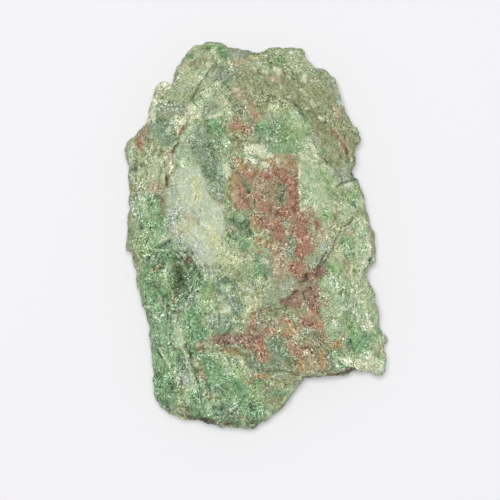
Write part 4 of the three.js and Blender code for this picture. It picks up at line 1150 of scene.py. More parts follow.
        (0.6, 0.7, [(1, 21.5), (4, 20.5)]),
        (0.7, 0.8, [(-38.5, 35), (-39.5, 33)]),
        (0.6, 0.5, [(-28, 30), (-26, 32)]),
        (0.6, 0.5, [(-26.5, 30.5), (-27.5, 29.5)]),
        (0.6, 0.6, [(43, -2), (43.5, -5.5)]),
        (0.5, 0.5, [(40, 4), (40.5, 3)]),
        (0.4, 0.4, [(17.5, -36.5), (20, -36)]),
        (0.5, 0.5, [(-24, -32), (-24, -33)]),
        (0.8, 1.15, [(-25.5, 30), (-25, 31.5)]),  # beside the left crack
        (0.8, 1, [(-29.5, 29.5), (-27.5, 30)]),
        (0.7, 1, [(-22.5, 32), (-22.5, 31)]),
        (0.7, 1, [(-39.5, 32), (-39.5, 30.5)]),
        (0.6, 0.95, [(-22, 40.5), (-21, 40)]),
        (0.6, 0.7, [(-32, 18.5), (-32, 17)]),
        (0.5, 0.5, [(-34, 20), (-34, 19)]),
        (0.5, 0.5, [(-34, 16), (-33.5, 15.5)]),
        (0.5, 0.8, [(-48, 19), (-47.5, 18)]),
        (1.0, 1, [(44, -32), (45, -33)]),
        (0.8, 0.9, [(40.5, 4), (41.5, 3)]),
        (0.6, 0.5, [(42.5, -6), (43, -7)]),
        (0.6, 0.6, [(-18.5, -28.5), (-17.5, -29)]),
        (0.6, 0.6, [(-23.5, -32.5), (-23, -33.5)]),
        (1.0, 1, [(42, -34), (44, -35)]),
        (0.5, 0.6, [(-0.5, -19.5), (0.5, -20)]),
        (0.6, 0.65, [(-7, -24.5), (-6, -25)]),
        (0.6, 0.6, [(40.5, -1.5), (40.5, -2.5)]),
        (0.6, 0.5, [(48.5, -26.5), (48.5, -27.5)]),
        (0.6, 0.5, [(17.5, 7.5), (18, 7)]),
        (0.6, 0.6, [(43.5, 0), (43.5, -1)]),
        (0.8, 0.7, [(-17, 1.5), (-16.5, 1)]),
        (0.6, 0.6, [(14, 47.5), (14, 46.5)]),
        (0.5, 0.5, [(-35, 15), (-35, 14)]),
        (0.4, 0.5, [(-33, 15.5), (-33, 14.5)]),
        (0.5, 0.5, [(14, 20.5), (14.5, 20)]),
        (0.5, 0.7, [(2.5, 21), (3.5, 21)]),
        (0.5, 0.5, [(20.5, -35.5), (21.5, -35.5)]),
        (0.5, 0.6, [(-18.5, 42.5), (-17.5, 43)]),
        (0.5, 0.5, [(-1, -25), (0, -25.5)]),
        (0.6, 0.6, [(-17.5, -29.5), (-16.5, -30.5)]),
        (0.6, 0.6, [(-31.5, 19), (-31.5, 18)]),
        (0.6, 0.6, [(22.5, 13), (24, 12)]),
        (0.7, 0.7, [(42, -6.5), (42.5, -7.5)]),
        (0.6, 0.5, [(-31, 1), (-30.5, 0)]),
        (0.8, 0.6, [(-19.5, 3), (-19, 2)]),
        (0.6, 0.4, [(13, 41.5), (13, 41)]),
        (0.5, 0.5, [(-35, 14), (-33, 13.5)]),
        (0.6, 0.6, [(-48, 23.5), (-47.5, 23)]),
        (0.5, 0.5, [(42, -12), (42, -12.5)]),
        (0.6, 0.5, [(3, -6.5), (4, -7)]),
        (0.6, 0.7, [(45.5, -35), (46, -35.5)]),
        (0.6, 0.5, [(-30, 41), (-29.5, 40.5)]),
        (0.6, 0.7, [(-39.5, 31), (-39, 30)]),
        (0.6, 0.6, [(-21.5, 40), (-20.5, 39.5)]),
        (0.3, 0.6, [(-3.25, 10), (-1.5, 11)]),
        (0.9, 0.75, [(-2, 22.5), (1, 21.5), (4.5, 20.5)]),
        (0.3, 0.6, [(21.25, 23.75), (22.25, 21.5), (23.5, 19.75)]),
        (0.3, 0.6, [(17.5, 20.5), (17.5, 19.5)]),
        (0.7, 0.5, [(43.5, -34), (44.5, -35)]),  # light and dark spots
        (0.5, 0.5, [(41, -33.5), (42, -34)]),
        (0.6, 0.6, [(-26.5, 31), (-25.5, 30.5)]),
        (0.6, 0.5, [(-29.5, 30), (-28.5, 29.5)]),
        (0.6, 0.5, [(2.5, 20.5), (3, 20)]),
        (0.6, 0.5, [(-22, 39.5), (-21.5, 39)]),
        (0.6, 0.5, [(-39.5, 32), (-39, 31.5)]),
        (0.5, 0.5, [(45.5, -32.5), (46, -33)]),
        (0.7, 0.4, [(16, 47.5), (17.5, 47)]),
        (0.7, 0.35, [(8.5, -19.5), (9.5, -20)]),
        (0.7, 0.35, [(-12.5, 7.5), (-11.5, 7)]),
        (0.7, 0.35, [(-18.5, -27.5), (-17.5, -28)]),
        (0.7, 0.35, [(-16.5, 10.5), (-15, 10)]),
        (0.7, 0.35, [(9, -12), (10, -12.5)]),
        (0.6, 0.35, [(-41, 11), (-41, 10.5)]),
        (0.6, 0.35, [(-7.5, -24.5), (-7, -25)]),
        (0.6, 0.3, [(4.5, 16.5), (5.5, 16)]),
        (1.1, 0.35, [(-8, 12), (-6, 8)]),  # a pale bloom over the red
        (1.0, 0.3, [(6, 19), (14, 18)]),
        (0.6, 0.5, [(-26, -3), (-25, -3.5)]),
        (0.5, 0.5, [(-36, 11), (-35.5, 10.5)]),
        (0.6, 0.8, [(-26.5, 31), (-26, 30.5)]),
        (0.6, 0.8, [(43.5, -34.5), (44.5, -35)]),
    ],
    # dark veins, and painted shade in the creases of cracks and folds
    "furrowShade": [
        (0.2, 0.65, [(-16.75, 43.75), (-19, 41.75), (-21, 39.75)]),  # along the left crack
        (0.2, 0.8, [(-20.5, 40.25), (-22.5, 37.75), (-23.5, 36.25), (-25.25, 34.75)]),
        (0.2, 0.35, [(-14.5, 38), (-12.25, 36.5), (-10.25, 35), (-8.25, 33.25)]),  # folds of the crown, painted shade
        (0.2, 0.35, [(-9.5, 34.5), (-7.5, 32.25), (-5.25, 29.75)]),
        (0.2, 0.3, [(-6, 37), (-3.75, 35.25), (-1.75, 34)]),
        (0.2, 0.6, [(-12.5, 43.75), (-14, 42), (-15.25, 40.25)]),
        (0.2, 0.5, [(-11.75, 39.25), (-14, 38), (-15.5, 36.75)]),
        (0.2, 0.7, [(-27.5, 36.75), (-25.5, 37.5), (-24, 38.25)]),
        (0.2, 0.3, [(11.5, 37), (13.75, 34.5), (16.5, 32.5)]),
        (0.2, 0.4, [(16.5, 32.5), (18.5, 30.5), (20.25, 28.75)]),
        (0.2, 0.3, [(18.5, 35.25), (20.25, 33.75), (22.25, 32), (24.25, 30.25)]),
        (0.2, 0.25, [(14.25, 43.5), (14.25, 41.5)]),
        (0.2, 0.35, [(14.75, 40.5), (15, 38)]),
        (0.2, 0.7, [(25.25, 20), (28.75, 18), (31.5, 16.25), (33, 14.25)]),
        (0.2, 0.5, [(2.5, 36.75), (5.5, 35.75), (9.25, 35.25)]),
        (0.2, 0.5, [(28.5, 26.25), (30, 25), (32.25, 23.75)]),
        (0.2, 0.9, [(31, 12.5), (33.25, 13.5), (36, 14), (38.75, 14.75)]),
        (0.2, 0.7, [(34.25, 22.5), (35, 20.25)]),
        (0.2, 1, [(-32.5, -1.25), (-35, -2.5), (-37.75, -3.75), (-39.75, -4.5),
                  (-40.75, -5.75)]),  # round the hollow
        (0.2, 0.8, [(-33.5, -2), (-35.5, -3.5), (-37.5, -4.5), (-39.75, -5)]),
        (0.2, 1, [(-31.75, -3.75), (-29, -5), (-27.5, -6.75), (-25.25, -8)]),
        (0.2, 0.9, [(-33.25, -4.5), (-30, -5.75), (-27.75, -6.5), (-26.25, -8)]),
        (0.2, 0.8, [(-25.25, -6.5), (-23.25, -7.75), (-21.75, -9.75), (-21.25, -11.25)]),
        (0.2, 1, [(-29, -8.5), (-28.25, -10.5), (-28.5, -12.5), (-29.25, -14.75)]),
        (0.2, 0.7, [(-27, -11.75), (-26.25, -10.25), (-25.25, -9)]),
        (0.2, 0.8, [(-25.25, -11.5), (-24.5, -10), (-23.25, -9)]),
        (0.2, 1, [(-21.25, -13.25), (-22.75, -15), (-24, -16.5)]),
        (0.2, 0.8, [(-29, -16.25), (-29.75, -17.5), (-30.5, -18.5)]),
        (0.2, 1, [(-35.5, -16.5), (-34.75, -19.25), (-33.5, -22), (-32.5, -24)]),
        (0.2, 0.8, [(-39.75, -11.25), (-38.25, -13.25), (-36.5, -14.75), (-35, -16.25)]),
        (0.2, 0.6, [(-41.25, -12.5), (-40, -14.75), (-38.25, -16.75)]),
        (0.2, 0.9, [(-32.75, -25.5), (-32.5, -28), (-31, -29.75)]),  # lower left
        (0.2, 0.5, [(-27.75, -28.75), (-25.5, -30.5), (-24, -32.25)]),
        (0.2, 0.9, [(-25.5, -29.75), (-24.75, -32.75), (-23.5, -35.5), (-22, -38)]),
        (0.2, 0.7, [(-29.75, -31), (-27.75, -32.75), (-26.25, -34.75)]),
        (0.2, 0.6, [(-28.25, -30.75), (-26.25, -32.75), (-25.25, -34.75)]),
        (0.2, 0.8, [(-19.5, -36.75), (-18.25, -39.25)]),
        (0.2, 0.7, [(-38.5, -28.5), (-37, -30.75), (-35, -33.25)]),
        (0.2, 0.6, [(-36.5, -36.5), (-35, -38.5), (-34.25, -40.5)]),
        (0.2, 0.7, [(25, -6.25), (26.75, -4.5)]),
        (0.2, 0.6, [(-20.25, 18), (-19, 15.25), (-19, 12.75)]),
        (0.2, 0.7, [(-18.25, 11.25), (-16.25, 9.5), (-13, 8.5)]),
        (0.2, 0.8, [(-35.5, 11), (-37.5, 10.25), (-39, 10)]),
        (0.2, 0.7, [(-42, 16.5), (-41.5, 15.5)]),
        (0.2, 0.7, [(-44.25, 18.25), (-42.75, 18.75)]),
        (0.2, 0.8, [(-3.25, 19.5), (-1.75, 18.75)]),
        (0.2, 0.8, [(-0.25, 20), (1.25, 19)]),
    ],
    "thread": [
        (0.2, 0.7, [(-20.5, 41), (-19, 42.25), (-18, 43)]),
        (0.2, 0.9, [(19.25, 42.25), (18, 40.75), (17.25, 39.75)]),
        (0.2, 0.8, [(21.25, 35.25), (22, 33.5)]),
        (0.2, 1, [(24.5, 30.5), (25.75, 29.5)]),
        (0.2, 0.6, [(2.75, 43.75), (6.25, 42.75), (9.25, 41)]),
        (0.2, 0.6, [(-11, 46), (-9.5, 44.25), (-8.75, 42.5)]),
        (0.2, 0.8, [(-18, 30.25), (-15.25, 30.75), (-13.75, 31.75)]),
        (0.2, 0.5, [(-19.75, 33.75), (-21.75, 32.75)]),
        (0.2, 0.9, [(-28.25, -3.25), (-25.5, -4.5), (-23.25, -6.25), (-21, -7.5), (-19.75, -8.5)]),
        (0.2, 0.7, [(-36.5, -3.75), (-34.75, -4), (-32.75, -3.75)]),
        (0.2, 0.6, [(-30.5, -4.75), (-28.5, -6.25), (-27.5, -7.75)]),
        (0.2, 0.7, [(-19.75, -8.5), (-19.5, -10), (-19.75, -11.75)]),
        (0.2, 0.8, [(-26.25, -10.75), (-25.5, -9.5), (-24.5, -8.5)]),
        (0.2, 0.7, [(-24, -11.75), (-23.25, -10.5), (-22, -9.5)]),
        (0.2, 0.8, [(-40.5, -5), (-39.75, -6.25), (-40, -7.25)]),
        (0.2, 0.6, [(-26.75, -17.5), (-27, -19.5), (-26.75, -21.75)]),
        (0.2, 0.6, [(-34.25, -16.75), (-34.75, -19.5), (-34, -21.75), (-32.75, -23.5)]),
        (0.2, 0.9, [(-43, -18.5), (-40, -18.5)]),
        (0.2, 0.8, [(-16.75, -17.5), (-16.25, -19.25), (-14.75, -20.75)]),
        (0.2, 0.6, [(-14.75, -18.75), (-15.25, -21)]),
        (0.2, 0.6, [(-37, -29), (-34.75, -31.75), (-32.75, -34.25), (-30.5, -37.25)]),
        (0.2, 0.8, [(-26.75, -31.5), (-25.25, -34.25), (-24, -37.5), (-24.75, -40.25)]),
        (0.2, 0.8, [(-14.5, -29.75), (-11.5, -32.25), (-9.75, -35.5)]),
        (0.2, 0.7, [(-11.5, -30.25), (-8.75, -33)]),
        (0.2, 0.6, [(-27.75, -41.25), (-27.5, -44)]),
        (0.2, 0.6, [(-26.75, -19.75), (-26, -22.5), (-26, -25)]),
        (0.2, 0.6, [(-6, -35.5), (-4.5, -37.5), (-2.25, -39.5)]),
        (0.2, 0.8, [(-30.5, 19.5), (-28.25, 18.75), (-26.25, 19.25)]),  # left
        (0.2, 0.6, [(-33.5, 19), (-32, 17)]),
    ],
}


# the stone's mesh: the solid's own shape, remeshed fine enough to carve
stoneShape = {
    "pointGap": 0.21,  # mm between mesh points
    "faceCount": 196000,  # triangles left at the end
    # depth and size of each pattern that is carved, mm
    "layers": (0.7, 1.2),  # ledges round the walls
    "backPits": (0.7, 2.6),
    "scallops": (0.5, 2.3),  # the larger breaks
    "lumps": (0.42, 1.4),
    "chips": (0.26, 0.9),
    "fibres": (0.5, 0.8),  # streaks of the lower left
    "crumbs": (0.15, 0.5),
    "layerStretch": (6, 6, 1),
    "fibreStretch": (1, 5, 5),
    "fibreTurn": 0.12,  # radians from upright
    "sharpness": 1.2,  # of the edges between breaks
    # depth of the lines and height of the forms that are listed above, mm
    "crackDepth": 0.4,
    "ledgeDepth": 0.35,
    "hollowDepth": 1.8,
    "edgeForms": 0.55,  # how far nubs stand out and nicks go in
    "growth": 0.16,  # how far the walls stand out again after the chipping
    "lensSmoothness": 0.85,
    # how much of a brush width is as strong as the middle of the stroke
    "stainCore": 0.4,
    "lineCore": 0.1,
    "edgeCore": 0.3,
    # where each part of the stone begins and where it is whole
    "offFloor": (0.1, 1.4),  # mm over the floor
    "faceHeight": (0.2, 0.42),  # share of the thickness
    "faceLean": (-0.3, 0.1),  # height of the normals: -1 faces down, 0 is upright, 1 faces up
    "wallLean": (0.3, 0.8),  # whole below the first, none over the second
    "backLean": (0.5, 0.9),
    "fibresEnd": (-0.2, -0.12),  # share of the width and length, where they begin to fade
    "sparedDetail": 0.98,  # how far the thinning of the mesh spares the face
}


def copySolid(nodeName, pieceName):
    piece = bpy.data.objects.new(pieceName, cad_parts[nodeName].data.copy())
    bpy.context.scene.collection.objects.link(piece)
    bpy.context.view_layer.objects.active = piece
    piece.select_set(True)
    piece.data.materials.clear()
    bpy.ops.object.mode_set(mode="EDIT")
    bpy.ops.mesh.select_all(action="SELECT")
    bpy.ops.mesh.remove_doubles(threshold=0.001 * mm)
    bpy.ops.object.mode_set(mode="OBJECT")
    return piece


def finishWith(piece, kind, **settings):  # adds a modifier and applies it
    made = piece.modifiers.new(kind.title(), kind)
    for name, value in settings.items():
        setattr(made, name, value)
    bpy.ops.object.modifier_apply(modifier=made.name)


def readPoints(piece):
    places = np.empty(len(piece.data.vertices) * 3)
    normals = np.empty(len(piece.data.vertices) * 3)
    piece.data.vertices.foreach_get("co", places)
    piece.data.vertices.foreach_get("normal", normals)
    return places.reshape(-1, 3), normals.reshape(-1, 3)


def weigh(piece, name, weights, steps=50):  # a vertex group from a row of weights
    group = piece.vertex_groups.new(name=name)
    levels = np.round(np.clip(weights, 0, 1) * steps).astype(int)
    for level in range(1, steps + 1):
        members = np.flatnonzero(levels == level).tolist()
        if members:
            group.add(members, level / steps, "REPLACE")


def texture(kind, size, **settings):
    made = bpy.data.textures.new(kind.title(), kind)
    made.noise_scale = size * mm
    for name, value in settings.items():
        setattr(made, name, value)
    return made


def stretch(size, turn=0):  # a helper whose own axes stretch a texture
    bpy.ops.object.empty_add(location=(0, 0, 0), rotation=(0, 0, turn))
    helper = bpy.context.object
    helper.scale = size
    bpy.context.view_layer.update()
    return helper


def carve(piece, group, depth, pattern=None, middle=0.0, helper=None):  # middle: the grey that stays put
    bpy.ops.object.select_all(action="DESELECT")
    bpy.context.view_layer.objects.active = piece
    piece.select_set(True)
    settings = {"vertex_group": group, "strength": depth * mm, "mid_level": middle}
    if pattern:
        settings["texture"] = pattern
        settings["texture_coords"] = "OBJECT" if helper else "LOCAL"
    if helper:
        settings["texture_coords_object"] = helper
    finishWith(piece, "DISPLACE", **settings)
    if pattern:
        bpy.data.textures.remove(pattern)
    if helper:
        bpy.data.objects.remove(helper)


def carveClouds(piece, group, name, detail, middle=0.5, helper=None):
    depth, size = stoneShape[name]
    carve(piece, group, depth, texture("CLOUDS", size, noise_depth=detail), middle, helper)


def carveBreaks(piece, group, name):  # round dents that meet in sharp edges
    depth, size = stoneShape[name]
    dents = texture("VORONOI", size, distance_metric="DISTANCE", noise_intensity=stoneShape["sharpness"])
    carve(piece, group, depth, dents, middle=0.5)


def faceShare(places, normals):  # 1 on the weathered face, fading down the walls
    begins, whole = (share * stoneThickness for share in stoneShape["faceHeight"])
    return rise(places[:, 2], begins, whole) * rise(normals[:, 2], *stoneShape["faceLean"])


def weighParts(stone):  # the vertex groups that hold each carving to its part of the stone
    places, normals = readPoints(stone)
    flat = places[:, :2]
    begins, whole = (gap * mm for gap in stoneShape["offFloor"])
    offFloor = rise(places[:, 2], begins, whole)
    face = faceShare(places, normals)
    lens = brushed(flat, stains["lens"], stoneShape["stainCore"]) * face
    rough = offFloor * (1 - stoneShape["lensSmoothness"] * np.clip(lens, 0, 1))
    walls = offFloor * (1 - rise(np.abs(normals[:, 2]), *stoneShape["wallLean"]))
    acrossEnd, upEnd = stoneShape["fibresEnd"]
    left = 1 - rise(flat[:, 0], acrossEnd * stoneWidth, 0)
    lower = 1 - rise(flat[:, 1], upEnd * stoneLength, 0)
    weigh(stone, "rough", rough)
    weigh(stone, "fibres", rough * (left * lower) * face)
    weigh(stone, "walls", walls)
    for name, forms in ("nubs", nubs), ("nicks", nicks):
        weigh(stone, name, walls * brushed(flat, forms, stoneShape["edgeCore"]))
    weigh(stone, "back", rise(-normals[:, 2], *stoneShape["backLean"]))
    for name, lines in ("cracks", cracks), ("ledges", ledges), ("hollows", hollows):
        weigh(stone, name, brushed(flat, lines, stoneShape["lineCore"]) * face)
    weigh(stone, "unseen", 1 - stoneShape["sparedDetail"] * face)


def makeStone():
    stone = copySolid("opal", "opalStone")
    finishWith(stone, "REMESH", mode="VOXEL", voxel_size=stoneShape["pointGap"] * mm)
    weighParts(stone)
    carveClouds(stone, "walls", "layers", 1, helper=stretch(stoneShape["layerStretch"]))
    carveClouds(stone, "back", "backPits", 3, middle=1)
    carveBreaks(stone, "rough", "scallops")
    carveClouds(stone, "rough", "lumps", 2)
    carveBreaks(stone, "rough", "chips")
    carveClouds(stone, "fibres", "fibres", 2,
                helper=stretch(stoneShape["fibreStretch"], turn=stoneShape["fibreTurn"]))
    carve(stone, "walls", stoneShape["growth"])
    carve(stone, "nubs", stoneShape["edgeForms"])
    carve(stone, "nicks", -stoneShape["edgeForms"])
    carve(stone, "ledges", -stoneShape["ledgeDepth"])
    carve(stone, "hollows", -stoneShape["hollowDepth"])
    carve(stone, "cracks", -stoneShape["crackDepth"])
    carveClouds(stone, "rough", "crumbs", 1)
    triangles = sum(len(face.vertices) - 2 for face in stone.data.polygons)
    finishWith(stone, "DECIMATE", ratio=stoneShape["faceCount"] / triangles, vertex_group="unseen")
    bpy.ops.object.shade_smooth()
    print("stone carved,", triangles, "triangles cut to", len(stone.data.polygons))
    return stone


def layStains(stone):  # each paint, lean of the fibres and kind of grain becomes an attribute of the mesh
    places, normals = readPoints(stone)
    flat = places[:, :2]
    face = faceShare(places, normals)
    layers = {name: brushed(flat, strokes, stoneShape["stainCore"]) * face
              for name, strokes in (stains | grains).items()}
    layers["crack"] = brushed(flat, cracks, stoneShape["lineCore"]) * face
    for name, cover in layers.items():
        made = stone.data.attributes.new(name, "FLOAT", "POINT")
        made.data.foreach_set("value", cover.astype(np.float32))
    print("stains laid,", len(layers), "layers")


class Wire:  # a socket to build on: sums on it become Math nodes
    def __init__(self, tree, socket=None):
        self.tree = tree
        self.socket = socket

    def node(self, kind, settings=None, sockets=None, out=0):
        made = self.tree.nodes.new(kind)
        for name, value in (settings or {}).items():
            setattr(made, name, value)
        for name, value in (sockets or {}).items():
            if isinstance(value, Wire):
                self.tree.links.new(value.socket, made.inputs[name])
            else:
                made.inputs[name].default_value = value
        return Wire(self.tree, made.outputs[out] if made.outputs else None)

    def math(self, operation, first, second):
        return self.node("ShaderNodeMath", {"operation": operation}, {0: first, 1: second})

    def __add__(self, other):
        return self.math("ADD", self, other)

    def __sub__(self, other):
        return self.math("SUBTRACT", self, other)

    def __rsub__(self, other):
        return self.math("SUBTRACT", other, self)

    def __mul__(self, other):
        return self.math("MULTIPLY", self, other)

    __radd__ = __add__
    __rmul__ = __mul__


def tone(red, green, blueAndSheen):  # a screen colour, 0 to 255, as the light that it stands for
    parts = [part / 255 for part in (red, green, blueAndSheen)]
    return (*[p / 12.92 if p <= 0.04045 else ((p + 0.055) / 1.055) ** 2.4 for p in parts], 1)


# light and dark tone of each kind of stone, how far noise breaks its edges up, and how much it hides
stoneTones = {
    "ground": (tone(176, 187, 148), tone(130, 146, 110), 1, 1),
    "verdant": (tone(158, 187, 142), tone(110, 146, 104), 1, 1),
    "paleGreen": (tone(194, 203, 165), tone(154, 167, 128), 1, 1),
    "brown": (tone(166, 159, 124), tone(122, 119, 90), 1, 1),
    "greyGreen": (tone(165, 175, 148), tone(126, 138, 112), 1, 1),
    "olive": (tone(168, 172, 130), tone(122, 130, 92), 1, 1),
    "teal": (tone(146, 166, 136), tone(106, 128, 100), 1, 1),
    "leaf": (tone(164, 188, 136), tone(116, 146, 96), 1, 1),
    "emerald": (tone(142, 178, 132), tone(92, 130, 89), 1, 1),
    "mint": (tone(188, 206, 170), tone(144, 168, 132), 1, 1),
    # pale stone, partly a painted sheen
    "lens": (tone(196, 206, 178), tone(176, 188, 160), 0.5, 1),
    "straw": (tone(204, 208, 164), tone(174, 182, 138), 1, 0.9),
    # grey-blue, and painted sheen
    "blueAndSheen": (tone(184, 196, 180), tone(160, 174, 158), 0.9, 0.9),
    "tan": (tone(194, 180, 148), tone(146, 132, 104), 1, 0.85),
    "rust": (tone(178, 154, 122), tone(132, 112, 86), 0.9, 0.85),
    "ochre": (tone(188, 164, 114), tone(142, 120, 80), 1, 0.85),
    "red": (tone(181, 132, 105), tone(132, 90, 71), 1, 0.8),
    "rose": (tone(162, 128, 109), tone(121, 88, 77), 1, 0.8),
    # dark green stone, and painted shade
    "deepGreenAndShade": (tone(118, 142, 104), tone(68, 92, 62), 1, 0.9),
    # dark brown, and painted shadow
    "umberAndShade": (tone(120, 100, 80), tone(70, 56, 44), 0.8, 0.9),
    # painted shade in pits and hollows
    "pitShade": (tone(78, 84, 62), tone(36, 42, 30), 0.8, 1),
    "facet": (tone(166, 171, 145), tone(142, 150, 124), 0.5, 1),
    "cream": (tone(222, 227, 196), tone(188, 193, 160), 1, 0.9),
    # dark veins, and painted shade in creases
    "furrowShade": (tone(104, 114, 90), tone(68, 80, 62), 0.6, 0.7),
    "thread": (tone(214, 224, 192), tone(184, 200, 164), 0.6, 0.65),
}
stoneFinish = {
    # each noise: size in mm, offset in m, octaves, roughness
    "swirl": (2.4, 0.63, 3, 0.6),  # draws the edges of the stains and the fibres about
    "patch": (2.6, 0.11, 3, 0.6),  # frays the edges of the stains, coarse and fine
    "crumb": (0.45, 0.07, 3, 0.8),
    "ground": (7.0, 0.05, 6, 0.62),
    "fibre": (0.3, 0.2, 2, 0.6),
    "streak": (0.9, 0.37, 5, 0.8),  # light and dark of each kind of stone
    "curl": (0.7, 0.83, 1, 0.5),  # draws the grit out
    "glass": (2.6, 0.29, 2, 0.6),
    "tint": (1.9, 0.77, 2, 0.5),
    "fine": (0.2, 0.41, 1, 0.7),
    "paleStrand": (0.75, 0.23, 1, 0.6),
    "darkStrand": (0.75, 0.47, 1, 0.6),
    "verdantCloud": (8.0, 0.91, 6, 0.65),
    "greyCloud": (8.0, 1.13, 6, 0.65),
    "rustCloud": (8.0, 1.37, 6, 0.65),
    # stains
    "swirlReach": 2.0,  # mm, for the edges of the stains
    "fibreReach": 1.0,  # mm, for the fibres
    "edgeSoftness": 0.33,  # how far the cover may be from a half where an edge is mixed
    "patchWander": 1.5,  # how far coarse and fine noise move the edges
    "crumbWander": 1.15,
    "groundRange": (0.36, 0.64),  # noise values at which the ground is darkest and lightest
    "streakRange": (-0.19, 0.19),
    "leanEdge": (0.2, 0.8),  # cover at which a brushed layer begins to work and works in full
    "lensEdge": (0.3, 0.8),
    "crackEdge": (0.6, 1),
    # the cracks darkened: dark hairlines, and painted shadow where a crack is the edge of a step
    "crackAndShadowTone": tone(84, 66, 54),
    "crackAndShadowCover": 0.4,
    # the back has no stains, only clouds of these kinds: noise, and the value over which it shows
    "clouds": {
        "verdant": ("verdantCloud", 0.47),
        "greyGreen": ("greyCloud", 0.52),
        "rust": ("rustCloud", 0.6),
    },
    "cloudEdge": 0.07,
    "cloudCover": 0.85,
    "backHeight": (2, 6),  # mm over the floor, where they are whole and where they end
    # grain
    "gritSize": 0.2,  # mm
    "gritCurve": (0.5, 0.5, 4),  # most cells faint and a few strong, the light ones more than the dark
    "gritLevel": 0.1,  # taken off all over, to make up for the strands, rims and glints
    "gritContrast": 1.08,
    "curlReach": 0.7,  # mm, how far the grit is drawn out
    "glintSize": 0.9,  # mm between the bright specks
    "glintShare": (0.7, 0.8),  # only the cells over this chance have one
    "glintRadius": (0.12, 0.32),  # share of a cell
    "glints": 0.4,  # how much lighter these painted glints make the colour
    "rimSize": 1.5,  # mm between the thin pale rims
    "rimWidth": (0.02, 0.08),
    "rimFibres": (-0.05, 0.1),  # they show on light fibres alone
    "rims": 0.2,
    "strandWidth": 0.05,  # how far the noise may be from its middle on a strand
    "strands": 0.42,  # how much lighter the pale strands are, and how much darker the gaps
    "gaps": 0.22,
    "fibreTurns": (-0.75, -0.1, 0.65),  # radians from upright: rightward, upright, leftward
    "fibreLean": 0.2,  # radians out of the face
    "fibreStretch": 3.6,  # along over across
    "fibreContrast": 1.55,
    "fineContrast": 2.8,
    "tintContrast": (0.15, 0.18, 0.34),  # of patches a few mm across, in red, green and blue
    "glassRange": (0.4, 0.6),
    "glassGrain": (0.6, 0.8),  # how strong the grain is on glassy stone, and what is added elsewhere
    "cavityShade": 1.9,  # painted shade and light: how much darker the pits and lighter the ridges are made, by the mesh's pointiness
    "lensCalm": 0.4,  # how much fainter the grain is in the pale lens and where it is quiet
    "quiet": 0.3,
    "coarse": 0.25,  # how much stronger it is where it is coarse
    "grain": (0.24, 0.234, 0.252),  # how strong it all is in red, green and blue
    "screenGamma": 2.2,
    # relief and shine
    "bumpHeight": 0.1,  # mm
    "fibreHeight": 2,  # of the fibres and the grit, over that of the fine grain
    "gritHeight": 0.4,
    "roughness": 0.62,
    "glintGloss": 0.3,  # how much smoother the bright specks are
    "shine": 0.4,
}


